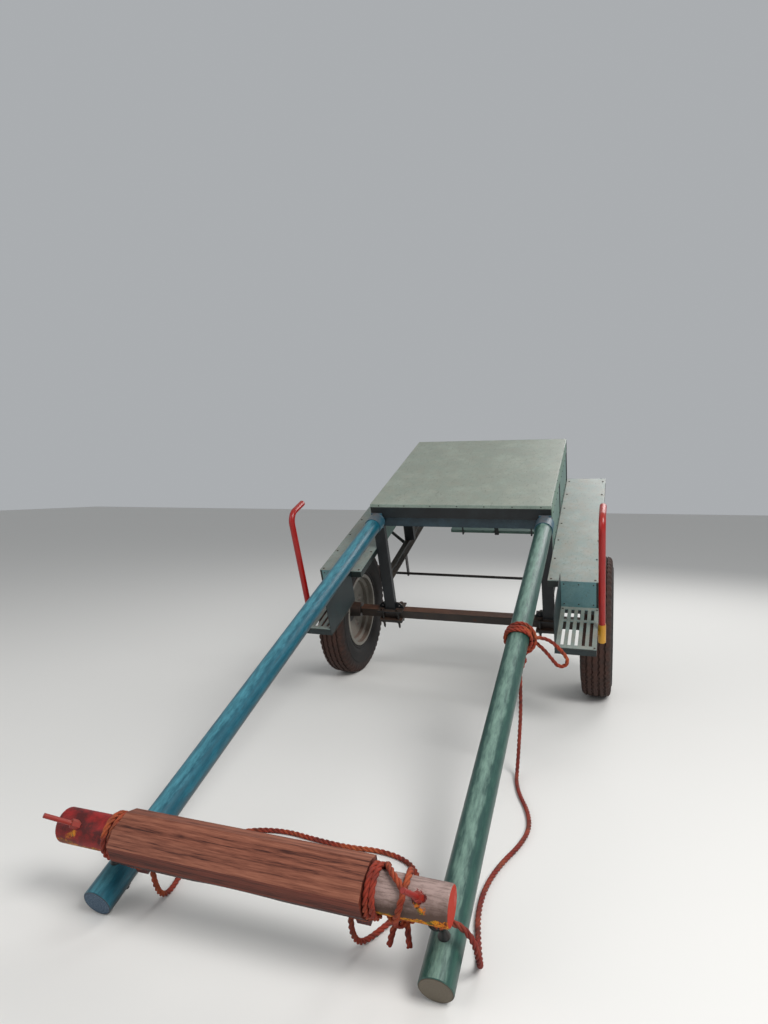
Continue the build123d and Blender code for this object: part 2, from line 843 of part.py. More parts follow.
def yoke_key(side, grow=0.0):
    """Wooden key of one side, square in its socket and tapered below it; larger all round by grow."""
    y = yoke_shift + side * key_line
    seat_z = yoke_height - saddle_below
    broad = Rectangle(key_thickness + 2 * grow, key_width + 2 * grow)
    slim = Rectangle(key_thickness * 0.7 + 2 * grow, key_width * 0.72 + 2 * grow)
    seat = Plane(origin=(yoke_x, y, seat_z)) * broad
    foot = Plane(origin=(yoke_x, y, seat_z - key_drop)) * slim
    return extrude(seat, amount=key_embed + grow) + loft([foot, seat])


def yoke_pin(side, grow=0.0):
    """Steel pin of one side leaning forward and to the right, its nut at the root; larger by grow."""
    y = yoke_shift + side * (yoke_half_length - pin_from_end)
    rolled = Pos(yoke_x, y, yoke_height) * Rot(0, pin_roll, 0)
    root = rolled * Pos(0, 0, yoke_end_radius) * Rot(pin_leans[side], 0, 0)
    shank = root * Pos(0, 0, (pin_length - pin_embed) / 2) * Cylinder(
        pin_radius + grow, pin_length + pin_embed + 2 * grow
    )
    sunk = pin_nut_radius
    nut = root * Pos(0, 0, -sunk - grow) * extrude(
        RegularPolygon(pin_nut_radius + grow, 6), amount=sunk + pin_nut_height + grow
    )
    return shank + nut


def yoke_stay():
    """Iron stay through the shaft and up into the yoke, with a tie ring on its right side."""
    x, y = yoke_x, post_line
    shaft_top = shaft_height + shaft_radius
    shaft_bottom = shaft_height - shaft_radius
    yoke_bottom = yoke_height - yoke_end_radius
    stay = rod(
        (x, y, shaft_bottom - stay_nut_height - stay_tail), (x, y, yoke_bottom + stay_embed), stay_radius
    )
    stay += Pos(x, y, shaft_top + stay_collar_height / 2) * Cone(
        stay_collar_radius, stay_radius, stay_collar_height
    )
    nut_plane = Pos(x, y, shaft_bottom - stay_nut_height)
    stay += extrude(nut_plane * RegularPolygon(stay_nut_radius, 6), amount=stay_nut_height)
    ring_y = y - stay_radius - ring_radius + ring_sink
    ring_z = yoke_bottom - 2 * rope_radius - ring_radius - ring_wire - ring_gap
    stay += Plane(origin=(x, ring_y, ring_z), z_dir=(1, 0, 0)) * Torus(ring_radius, ring_wire)
    return stay


def stay_hitch_z():
    """Height of the rope turn on the left stay, under the yoke."""
    return yoke_height - yoke_end_radius - rope_radius - seat_gap


def yoke_turn(y):
    """One turn of rope round a yoke end."""
    radius = yoke_end_radius + rope_radius + seat_gap
    return Plane(origin=(yoke_x, y, yoke_height), z_dir=(0, 1, 0)) * Torus(radius, rope_radius)


def key_turn(side):
    """Turn of rope round one key, close under the saddle."""
    width = key_thickness + 2 * (rope_radius + seat_gap)
    length = key_width + 2 * (rope_radius + seat_gap)
    z = yoke_height - saddle_below - rope_radius - seat_gap
    centre = (yoke_x, yoke_shift + side * key_line, z)
    outline = Plane(origin=centre) * RectangleRounded(width, length, rope_radius * 1.2)
    path = outline.wires()[0]
    start = Plane(origin=path @ 0, z_dir=path % 0)
    return sweep(start * Circle(rope_radius), path=path)


def yoke_lashings():
    """Rope turns at the saddle's shoulders, round the keys and a stay, and the left end's knotted loop."""
    turns = [key_turn(side) for side in (-1, 1)]
    for side in (-1, 1):
        for count in range(shoulder_turns):
            out = saddle_half_length + rope_radius + rope_turn_gap + count * rope_pitch
            turns.append(yoke_turn(yoke_shift + side * out))
    hitch_radius = stay_radius + rope_radius + seat_gap
    turns.append(Pos(yoke_x, post_line, stay_hitch_z()) * Torus(hitch_radius, rope_radius))
    knot_z = yoke_height - yoke_end_radius - 2 * rope_radius - knot_radius + knot_sink
    knot = rod(
        (yoke_x, loop_turn_y - knot_length / 2, knot_z),
        (yoke_x, loop_turn_y + knot_length / 2, knot_z),
        knot_radius,
    )
    knot = fillet(knot.edges().filter_by(GeomType.CIRCLE), knot_radius * 0.7)
    turns.append(yoke_turn(loop_turn_y) + knot)
    return Compound(turns)


def shaft_lashing():
    """Rope turns round the left shaft with the hanging knot below them."""
    radius = shaft_radius + rope_radius + seat_gap
    pitch = 2 * rope_radius - rope_turn_gap
    lashing = Part()
    for count in range(lash_turns):
        x = lash_x + (count - (lash_turns - 1) / 2) * pitch
        lashing += Plane(origin=(x, post_line, shaft_height), z_dir=(1, 0, 0)) * Torus(radius, rope_radius)
    knot_top = shaft_height - shaft_radius - rope_radius
    knot = Pos(lash_x, post_line, knot_top - lash_knot_drop / 2) * Cylinder(lash_knot_radius, lash_knot_drop)
    knot = fillet(knot.edges().filter_by(GeomType.CIRCLE), lash_knot_radius * 0.7)
    return lashing + knot


def lean_angle():
    """Angle in degrees by which the cart leans forward until its shaft tips touch the ground."""
    ahead = shaft_tip_x - shaft_chamfer
    above = shaft_height - shaft_radius - axle_z
    return degrees(atan2(above, ahead) + asin(axle_z / hypot(ahead, above)))


def at_axle(piece):
    """Wheel piece drawn about the origin, moved to the left wheel's place."""
    return Pos(0, wheel_line, axle_z) * piece


def left_pieces():
    """Pieces drawn for the left side, each mirrored into a right-hand node of its own."""
    return {
        "tyre": at_axle(tyre()),
        "rim": at_axle(rim()),
        "hub": at_axle(hub()),
        "front_post": front_post(),
        "rear_posts": rear_posts(),
        "lower_rail": lower_rail(),
        "side_beam": side_beam(),
        "footboard_frame": footboard_frame(),
        "footboard_deck": footboard_deck(),
        "step_frame": step_frame(),
        "step_tread": step_tread(),
        "grab_rail": grab_rail(),
        "shaft": shaft(),
    }


def paired_pieces():
    """Pieces drawn for the left side that share one node with their mirror image."""
    return {
        "axle_clamps": axle_clamp(),
        "kick_panels": kick_panels(),
        "step_risers": step_riser(),
        "grab_rail_sockets": grab_rail_socket(),
        "shaft_sockets": shaft_socket(),
        "brake_hangers": brake_hanger(),
        "brake_blocks": brake_block(),
    }


def middle_pieces():
    """Pieces across the cart's middle, and the yoke's small pieces, which are not mirror images."""
    return {
        "axle": axle(),
        "front_beam": end_beam(post_front_x, 1),
        "rear_beam": end_beam(rear_face_x, -1),
        "bench_joists": bench_joists(),
        "front_apron": front_apron(),
        "seat_deck": seat_deck(),
        "rear_step_hangers": rear_step_hangers(),
        "rear_step_plank": rear_step_plank(),
        "brake_beam": brake_beam(),
        "yoke_beam": yoke_beam(),
        "yoke_keys": Compound([yoke_key(side) for side in (-1, 1)]),
        "yoke_pins": Compound([yoke_pin(side) for side in (-1, 1)]),
        "yoke_stays": Compound([yoke_stay(), Pos(0, -2 * post_line, 0) * yoke_stay()]),
        "yoke_lashings": yoke_lashings(),
        "shaft_lashing": shaft_lashing(),
    }


def rigid_pieces():
    """Every rigid piece by its node name, in the level frame."""
    pieces = {}
    for name, shape in left_pieces().items():
        pieces[name + "_left"] = shape
        pieces[name + "_right"] = mirror(shape, Plane.XZ)
    for name, shape in paired_pieces().items():
        pieces[name] = Compound(shape.solids() + mirror(shape, Plane.XZ).solids())
    pieces.update(middle_pieces())
    return pieces


def park(shape):
    """Shape from the level frame leaned forward about the axle."""
    return Pos(0, 0, axle_z) * Rot(0, lean_angle(), 0) * Pos(0, 0, -axle_z) * shape


def parked_point(x, y, z):
    """Point of the level frame where it lies once the cart is parked."""
    lean = radians(lean_angle())
    rise = z - axle_z
    return (x * cos(lean) + rise * sin(lean), y, axle_z - x * sin(lean) + rise * cos(lean))


def rope_routes():
    """Each free rope's points in the parked frame: its tied ends from the sizes, the rest as it lies."""
    lie = rope_radius + rope_turn_gap / 2
    key_z = yoke_height - saddle_below - rope_radius
    inner = key_width / 2 + rope_radius
    right_key = parked_point(yoke_x, yoke_shift - key_line + inner, key_z)
    left_key = parked_point(yoke_x, yoke_shift + key_line - inner, key_z)
    stay = parked_point(yoke_x, post_line + stay_radius + rope_radius, stay_hitch_z())
    knot_bottom = shaft_height - shaft_radius - rope_radius - lash_knot_drop
    knot_face = lash_knot_radius - lash_knot_sink
    rise = {name: knot_bottom + height for name, height in tie_rises.items()}
    knot = parked_point(lash_x, post_line, rise["lead"])
    loop_y = post_line + shaft_radius + seat_gap + 2 * rope_radius - loop_sink
    loop_start, loop_end = (
        parked_point(lash_x + loop_shift[end], loop_y, shaft_height - loop_drop[end])
        for end in ("start", "end")
    )
    tail_start, tail_end = (
        parked_point(lash_x, post_line - knot_face, rise[end]) for end in ("tail_start", "tail_end")
    )
    return {
        "neck_rope": [
            right_key, (2836, -393, 132), (2822, -392, 84), (2790, -398, 36), (2736, -408, lie),
            (2642, -434, lie), (2502, -472, lie), (2380, -452, lie), (2290, -366, lie), (2252, -232, lie),
            (2272, -92, lie), (2282, 48, lie), (2262, 176, lie), (2300, 296, lie), (2404, 362, lie),
            (2520, 368, lie), (2642, 330, lie), (2736, 296, lie), (2790, 286, 36), (2822, 281, 84),
            (2836, 282, 132), left_key,
        ],
        "lead_rope": [
            stay, (2842, 600, 190), (2830, 630, 152), (2808, 640, 98), (2778, 640, 46),
            (2728, 632, lie), (2646, 610, lie), (2512, 580, lie), (2362, 574, lie), (2206, 600, lie),
            (2058, 648, lie), (1914, 668, lie), (1772, 640, lie), (1640, 588, lie), (1524, 558, lie),
            (1438, 548, 22), (1398, 547, 84), (1386, 550, 172), (1380, 554, 280), (1376, 552, 392), knot,
        ],
        "hitch_loop": [
            loop_start, (1433, 642, 662), (1430, 690, 652), (1427, 732, 616), (1424, 772, 568),
            (1421, 760, 536), (1418, 726, 530), (1416, 694, 568), (1414, 664, 600), (1413, 636, 624),
            loop_end,
        ],
        "hitch_tail": [
            tail_start, (1388, 509, 520), (1382, 502, 472), (1379, 497, 412), (1378, 495, 378),
            (1377, 480, 369), (1377, 465, 378), (1378, 466, 412), (1382, 472, 468), (1389, 486, 522),
            (1398, 504, 556), tail_end,
        ],
    }


def corner_radii(points):
    """Largest fair bend at each inner point: 0.45 of the shorter run over the tangent of half the turn."""
    radii = []
    for before, here, after in zip(points, points[1:], points[2:]):
        run_in, run_out = Vector(*here) - Vector(*before), Vector(*after) - Vector(*here)
        half_turn = radians(run_in.get_angle(run_out)) / 2
        radii.append(0.45 * min(run_in.length, run_out.length) / tan(half_turn))
    return radii


def rope(points):
    """Tube of straight runs and tangent arcs through the points, with its length."""
    path = FilletPolyline(*points, radius=corner_radii(points))
    start = Plane(origin=path @ 0, z_dir=path % 0)
    return sweep(start * Circle(rope_radius), path=path), path.length


def main():
    """Builds every node and writes one STEP file each."""
    parked = {name: park(shape) for name, shape in rigid_pieces().items()}
    boxes = [shape.bounding_box() for shape in parked.values()]
    rear, front = min(box.min.X for box in boxes), max(box.max.X for box in boxes)
    shift = -(rear + front) / 2
    os.makedirs("parts", exist_ok=True)
    for name, shape in parked.items():
        export_step(Pos(shift, 0, 0) * shape, f"parts/{name}.step")
    print("lean", round(lean_angle(), 4), "axle x", round(shift, 3), "length", round(front - rear, 3))
    for name, points in rope_routes().items():
        tube, length = rope(points)
        export_step(Pos(shift, 0, 0) * tube, f"parts/{name}.step")
        share = tube.volume / (pi * rope_radius**2 * length)
        radii = " ".join(str(round(radius)) for radius in corner_radii(points))
        print(name, "length", round(length), "volume share", round(share, 4), "radii", radii)


if __name__ == "__main__":
    main()
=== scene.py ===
"""Looks of a two-wheeled passenger cart, parked with its shaft tips on the ground.

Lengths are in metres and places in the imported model's frame, unless a name ends in _mm or
a class says that its sizes are level millimetres. Level places are those of the cart before
it leans forward about its axle: X ahead of the axle, Y to the left, Z above the ground.
"""

from __future__ import annotations

import json
import logging
import math
from abc import ABC, abstractmethod
from dataclasses import dataclass, field
from enum import Enum

import bpy
from mathutils import Matrix, Vector

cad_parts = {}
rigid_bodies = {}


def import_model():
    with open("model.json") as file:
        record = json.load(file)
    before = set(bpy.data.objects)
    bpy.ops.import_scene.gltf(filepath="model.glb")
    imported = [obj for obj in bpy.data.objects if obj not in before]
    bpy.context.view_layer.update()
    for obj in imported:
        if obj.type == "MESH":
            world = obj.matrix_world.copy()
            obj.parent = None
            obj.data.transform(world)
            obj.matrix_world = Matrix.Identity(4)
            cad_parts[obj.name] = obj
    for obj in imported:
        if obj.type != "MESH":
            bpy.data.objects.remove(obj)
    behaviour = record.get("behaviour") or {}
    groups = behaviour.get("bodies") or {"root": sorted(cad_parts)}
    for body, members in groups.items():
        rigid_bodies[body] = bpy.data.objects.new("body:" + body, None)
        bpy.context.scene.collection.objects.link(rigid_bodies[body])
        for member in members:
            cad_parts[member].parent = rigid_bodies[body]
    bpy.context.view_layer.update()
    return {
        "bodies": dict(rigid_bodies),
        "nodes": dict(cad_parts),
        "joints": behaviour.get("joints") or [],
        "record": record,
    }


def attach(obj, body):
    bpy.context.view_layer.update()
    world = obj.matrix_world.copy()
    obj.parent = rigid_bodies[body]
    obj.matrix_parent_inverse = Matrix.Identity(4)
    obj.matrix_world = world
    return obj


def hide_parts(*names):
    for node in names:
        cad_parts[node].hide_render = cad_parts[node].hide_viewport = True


log = logging.getLogger("passenger_cart")

Point = tuple[float, float, float]
Tree = bpy.types.NodeTree
Node = bpy.types.Node
Source = bpy.types.Node | bpy.types.NodeSocket

# Inputs of a Mix node: how much of the second, and the two colours or the two numbers.
SHARE = 0
UNDER, OVER = 6, 7
FIRST, SECOND = 2, 3

# A wave texture counts its scale in radians.
WAVE_RADIANS = 6.28


def linear(hex_code: str) -> tuple[float, float, float, float]:
    """Turns an sRGB hex colour into a linear one.

    Args:
        hex_code: Six hex digits with a leading #.

    Returns:
        Red, green, blue and an alpha of 1.
    """
    channels = (int(hex_code[start : start + 2], 16) / 255 for start in (1, 3, 5))
    red, green, blue = (
        c / 12.92 if c <= 0.04045 else ((c + 0.055) / 1.055) ** 2.4 for c in channels
    )
    return (red, green, blue, 1.0)


def per_mm(size_mm: float) -> float:
    """Texture scale that gives features of this size in millimetres."""
    return 1000.0 / size_mm


def add_node(tree: Tree, kind: str, settings: dict[str | int, object] | None = None) -> Node:
    """Adds a node, sets its properties and inputs, and links other nodes into it.

    Args:
        tree: Node tree that gets the node.
        kind: Blender's name of the node type, without the ShaderNode it begins with.
        settings: Property or input name, or input number, to its value, or to the socket or
            the node that feeds it. A node feeds its first output in use.

    Returns:
        The new node.
    """
    node = tree.nodes.new("ShaderNode" + kind)
    for key, value in (settings or {}).items():
        if isinstance(value, Source):
            feed = next(s for s in value.outputs if s.enabled) if isinstance(value, Node) else value
            tree.links.new(feed, node.inputs[key])
        elif isinstance(key, str) and hasattr(node, key):
            setattr(node, key, value)
        else:
            node.inputs[key].default_value = value
    return node


@dataclass(frozen=True)
class Parking:
    """How the cart stands: leaned forward about its axle.

    The lean is the part's own, in degrees; the axle's place comes from the wheel joint.
    """

    lean_degrees: float
    axle: Vector

    def matrix(self) -> Matrix:
        """Works out where the leaned cart is.

        Returns:
            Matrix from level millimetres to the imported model's metres.
        """
        to_metres = Matrix.Diagonal((0.001, 0.001, 0.001, 1.0))
        rise = Matrix.Translation((0, 0, -self.axle.z))
        lean = Matrix.Rotation(math.radians(self.lean_degrees), 4, "Y")
        back = Matrix.Translation((self.axle.x, 0, self.axle.z))
        return back @ lean @ rise @ to_metres

    def point(self, x: float, y: float, z: float) -> Vector:
        """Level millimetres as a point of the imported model."""
        return self.matrix() @ Vector((x, y, z))

    def turn(self, x: float, y: float, z: float) -> Vector:
        """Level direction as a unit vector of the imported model."""
        lean = Matrix.Rotation(math.radians(self.lean_degrees), 3, "Y")
        return (lean @ Vector((x, y, z))).normalized()

    def texture_point(self, x: float, y: float, z: float) -> Vector:
        """Level millimetres as the texture coordinates that unlean() gives."""
        return Matrix.Rotation(-math.radians(self.lean_degrees), 3, "Y") @ self.point(x, y, z)

    def unlean(
        self, tree: Tree, source: Source, settings: dict[str | int, object] | None = None
    ) -> Node:
        """Turns texture coordinates or a normal back to those of the level cart.

        Args:
            tree: Node tree of the material.
            source: The coordinates or the normal.
            settings: What else the mapping does.

        Returns:
            Node that gives them level.
        """
        back = (0, -math.radians(self.lean_degrees), 0)
        return add_node(tree, "Mapping", {"Vector": source, "Rotation": back, **(settings or {})})


class Grain(Enum):
    """Which way a timber's grain runs, as a stretch of its texture space."""

    ALONG = (0.06, 1.0, 1.0)
    ACROSS = (1.0, 0.06, 1.0)
    UPRIGHT = (1.0, 1.0, 0.08)


@dataclass(frozen=True)
class Finish(ABC):
    """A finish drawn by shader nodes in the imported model's own space."""

    name: str

    def build(self) -> bpy.types.Material:
        """Makes the material.

        Returns:
            The node material.
        """
        material = bpy.data.materials.new(self.name)
        material.use_nodes = True
        tree = material.node_tree
        tree.nodes.clear()
        add_node(tree, "OutputMaterial", {"Surface": self.shader(tree)})
        return material

    @abstractmethod
    def shader(self, tree: Tree) -> Node:
        """Adds the finish's nodes.

        Args:
            tree: Node tree of the material.

        Returns:
            The shader node.
        """


@dataclass(frozen=True)
class BrushedEnamel(Finish):
    """Brush enamel over mild steel plate and rolled section, sun-faded, chipped and scuffed.

    It gives the eye a satin skin with chalky, grainy fading, rust at chips and edges, earth
    dust where it faces up, and scuffs along the cart where it is trodden and sat on.
    """

    paint: str
    faded: str
    chip: str = "#5A3A2A"
    dust: str = "#8A6A55"
    fade_amount: float = 0.55
    chip_amount: float = 0.42
    dust_amount: float = 0.45
    scuff_amount: float = 0.0
    roughness: float = 0.46
    blotch_mm: float = 160.0
    powder_mm: float = 90.0
    chip_mm: float = 34.0
    scratch_mm: float = 13.0
    stroke_mm: float = 7.0
    edge_mm: float = 1.6

    def shader(self, tree: Tree) -> Node:
        """Adds faded paint, then chips, dust and scuffs over it.

        Args:
            tree: Node tree of the material.

        Returns:
            The shader node.
        """
        place = add_node(tree, "TexCoord").outputs["Object"]
        blotch = add_node(tree, "TexNoise", {
            "Vector": place, "Scale": per_mm(self.blotch_mm), "Detail": 9.0, "Roughness": 0.74,
        })
        fade = add_node(tree, "MapRange", {
            "Value": blotch, "From Min": 0.62 - 0.3 * self.fade_amount, "From Max": 0.76,
            "To Max": 0.85,
        })
        colour = add_node(tree, "Mix", {
            "data_type": "RGBA", SHARE: fade, UNDER: linear(self.paint), OVER: linear(self.faded),
        })
        # Edges lose paint first: the rounded normal leaves the true one only near an edge.
        soft = add_node(tree, "Bevel", {"samples": 4, "Radius": self.edge_mm / 1000})
        true = add_node(tree, "NewGeometry").outputs["Normal"]
        facing = add_node(tree, "VectorMath", {"operation": "DOT_PRODUCT", 0: soft, 1: true})
        edge = add_node(tree, "MapRange", {
            "Value": facing, "From Min": 0.995, "From Max": 0.90, "To Max": 0.22,
        })
        flakes = add_node(tree, "TexNoise", {
            "Vector": place, "Scale": per_mm(self.chip_mm), "Detail": 9.0, "Roughness": 0.68,
        })
        wear = add_node(tree, "Math", {"operation": "ADD", 0: flakes, 1: edge})
        chips_from = 0.78 - 0.2 * self.chip_amount
        bare = add_node(tree, "MapRange", {
            "Value": wear, "From Min": chips_from, "From Max": chips_from + 0.02,
        })
        upward = add_node(tree, "SeparateXYZ", {"Vector": true}).outputs["Z"]
        powder = add_node(tree, "TexNoise", {
            "Vector": place, "Scale": per_mm(self.powder_mm), "Detail": 10.0, "Roughness": 0.78,
        })
        lie = add_node(tree, "Math", {"operation": "MULTIPLY_ADD", 0: upward, 1: 0.45, 2: powder})
        dusty = add_node(tree, "MapRange", {
            "Value": lie, "From Min": 0.55, "From Max": 1.05, "To Max": self.dust_amount,
        })
        # Real scratches are under 1 mm wide, and are drawn wider to show.
        along = add_node(tree, "Mapping", {
            "Vector": place, "Rotation": (0, 0, math.radians(7)), "Scale": (0.09, 1.0, 1.0),
        })
        scratches = add_node(tree, "TexNoise", {
            "Vector": along, "Scale": per_mm(self.scratch_mm), "Detail": 9.0, "Roughness": 0.74,
        })
        scuff = add_node(tree, "MapRange", {
            "Value": scratches, "From Min": 0.55, "From Max": 0.68, "To Max": self.scuff_amount,
        })
        for mask, tint in ((bare, self.chip), (dusty, self.dust), (scuff, self.chip)):
            colour = add_node(tree, "Mix", {
                "data_type": "RGBA", SHARE: mask, UNDER: colour, OVER: linear(tint),
            })
        matt = add_node(tree, "MapRange", {
            "Value": bare, "To Min": self.roughness, "To Max": 0.86,
        })
        strokes = add_node(tree, "TexNoise", {
            "Vector": place, "Scale": per_mm(self.stroke_mm), "Detail": 3.0,
        })
        height = add_node(tree, "Math", {
            "operation": "MULTIPLY_ADD", 0: bare, 1: -0.9, 2: strokes,
        })
        relief = add_node(tree, "Bump", {
            "Height": height, "Normal": soft, "Strength": 0.35, "Distance": 0.0006,
        })
        return add_node(tree, "BsdfPrincipled", {
            "Base Color": colour, "Roughness": matt, "Normal": relief, "IOR": 1.5,
        })


@dataclass(frozen=True)
class PaintedPole(Finish):
    """Gloss enamel brushed on a peeled hardwood pole, weathered and rubbed.

    It gives the eye slanting brush mottle in a teal skin, a chalky streak with a painted
    highlight along the crest, a painted shade on the underside, and a sawn end with a brown rim
    and fine cracks.
    """

    paint: str
    mottle: str
    crest: str
    shade: str
    end_wood: str
    end_crack: str
    parking: Parking
    tip_mm: float = 2840.0
    centre_mm: tuple[float, float] = (550.0, 1195.0)
    radius_mm: float = 50.0
    mottle_mm: float = 15.0
    grain_mm: float = 5.0
    ring_mm: float = 5.5
    cell_mm: float = 7.0
    bark_mm: tuple[float, float] = (5.5, 3.0)
    slant_degrees: float = 24.0
    end_contrast: float = 0.35
    bark: str = "#3A2B20"

    def shader(self, tree: Tree) -> Node:
        """Adds the painted side and, on the tip's face, the sawn end.

        Args:
            tree: Node tree of the material.

        Returns:
            The shader node.
        """
        level = self.parking.unlean(tree, add_node(tree, "TexCoord").outputs["Object"])
        normal = add_node(tree, "NewGeometry").outputs["Normal"]
        level_normal = self.parking.unlean(tree, normal, {"vector_type": "VECTOR"})
        upward = add_node(tree, "SeparateXYZ", {"Vector": level_normal}).outputs["Z"]
        paint, matt, grain = self.skin(tree, level, upward)
        end, cracks = self.sawn_end(tree, level)
        ahead = add_node(tree, "SeparateXYZ", {"Vector": level}).outputs["X"]
        tip = self.parking.texture_point(self.tip_mm, 0, self.centre_mm[1]).x
        sawn = add_node(tree, "MapRange", {
            "Value": ahead, "From Min": tip - 0.0012, "From Max": tip - 0.0006,
        })
        colour = add_node(tree, "Mix", {"data_type": "RGBA", SHARE: sawn, UNDER: paint, OVER: end})
        rough = add_node(tree, "Mix", {SHARE: sawn, FIRST: matt, SECOND: 0.9})
        height = add_node(tree, "Mix", {SHARE: sawn, FIRST: grain, SECOND: cracks})
        relief = add_node(tree, "Bump", {"Height": height, "Strength": 0.45, "Distance": 0.0009})
        return add_node(tree, "BsdfPrincipled", {
            "Base Color": colour, "Roughness": rough, "Normal": relief, "IOR": 1.5,
        })

    def skin(self, tree: Tree, level: Node, upward: Source) -> tuple[Node, Node, Node]:
        """Adds the painted side of the pole.

        Args:
            tree: Node tree of the material.
            level: Un-leaned texture coordinates.
            upward: Height part of the un-leaned normal.

        Returns:
            Colour, roughness and height.
        """
        # Brush mottle slants across the pole, and finer wood grain runs along it.
        slanted = add_node(tree, "Mapping", {
            "Vector": level, "Rotation": (0, math.radians(self.slant_degrees), 0),
            "Scale": (0.22, 1.0, 1.0),
        })
        mottle = add_node(tree, "TexNoise", {
            "Vector": slanted, "Scale": per_mm(self.mottle_mm), "Detail": 8.0, "Roughness": 0.7,
        })
        drawn = add_node(tree, "Mapping", {"Vector": level, "Scale": Grain.ALONG.value})
        grain = add_node(tree, "TexNoise", {
            "Vector": drawn, "Scale": per_mm(self.grain_mm), "Detail": 5.0, "Roughness": 0.6,
        })
        mask = add_node(tree, "MapRange", {
            "Value": mottle, "From Min": 0.42, "From Max": 0.70, "To Max": 0.7,
        })
        colour = add_node(tree, "Mix", {
            "data_type": "RGBA", SHARE: mask, UNDER: linear(self.paint), OVER: linear(self.mottle),
        })
        # The crest is chalky where sun and handling reach it, and carries a painted highlight too.
        rubbed = add_node(tree, "Math", {
            "operation": "MULTIPLY_ADD", 0: mottle, 1: 0.55, 2: upward,
        })
        crest = add_node(tree, "MapRange", {
            "Value": rubbed, "From Min": 1.12, "From Max": 1.34, "To Max": 0.7,
        })
        # Painted shade: the underside is darkened toward the shade colour.
        grime_and_shade = add_node(tree, "MapRange", {
            "Value": upward, "From Min": 0.1, "From Max": -0.45, "To Max": 0.9,
        })
        for mask, tint in ((crest, self.crest), (grime_and_shade, self.shade)):
            colour = add_node(tree, "Mix", {
                "data_type": "RGBA", SHARE: mask, UNDER: colour, OVER: linear(tint),
            })
        matt = add_node(tree, "MapRange", {"Value": crest, "To Min": 0.36, "To Max": 0.72})
        return colour, matt, grain

    def sawn_end(self, tree: Tree, level: Node) -> tuple[Node, Node]:
        """Adds the sawn end with its pith a little off the middle.

        Args:
            tree: Node tree of the material.
            level: Un-leaned texture coordinates.

        Returns:
            Colour and height.
        """
        y = self.centre_mm[0] / 1000
        z = self.parking.texture_point(self.tip_mm, 0, self.centre_mm[1]).z
        pith = add_node(tree, "Mapping", {"Vector": level, "Location": (0, 0.007 - y, 0.005 - z)})
        rings = add_node(tree, "TexWave", {
            "Vector": pith, "wave_type": "RINGS", "rings_direction": "X",
            "Scale": per_mm(self.ring_mm) / WAVE_RADIANS, "Distortion": 5.0,
            "Detail": 5.0, "Detail Scale": 0.8, "Detail Roughness": 0.7,
        })
        cells = add_node(tree, "TexVoronoi", {
            "Vector": level, "feature": "DISTANCE_TO_EDGE", "Scale": per_mm(self.cell_mm),
        })
        crack = add_node(tree, "MapRange", {"Value": cells, "From Min": 0.05, "From Max": 0.0})
        tone = add_node(tree, "Math", {
            "operation": "MULTIPLY_ADD", 0: rings.outputs["Fac"], 1: 0.22, 2: crack,
        })
        mask = add_node(tree, "MapRange", {
            "Value": tone, "From Max": 1.1, "To Max": self.end_contrast,
        })
        wood = add_node(tree, "Mix", {
            "data_type": "RGBA", SHARE: mask,
            UNDER: linear(self.end_wood), OVER: linear(self.end_crack),
        })
        # Bark colour shows in a thin rim round the end.
        flat = add_node(tree, "Mapping", {
            "Vector": level, "Location": (0, -y, -z), "Scale": (0.0, 1.0, 1.0),
        })
        reach = add_node(tree, "VectorMath", {"operation": "LENGTH", 0: flat})
        start, full = ((self.radius_mm - depth) / 1000 for depth in self.bark_mm)
        rim = add_node(tree, "MapRange", {
            "Value": reach, "From Min": start, "From Max": full, "To Max": 0.8,
        })
        rimmed = add_node(tree, "Mix", {
            "data_type": "RGBA", SHARE: rim, UNDER: wood, OVER: linear(self.bark),
        })
        depth = add_node(tree, "Math", {"operation": "SUBTRACT", 0: 1.0, 1: crack})
        return rimmed, depth


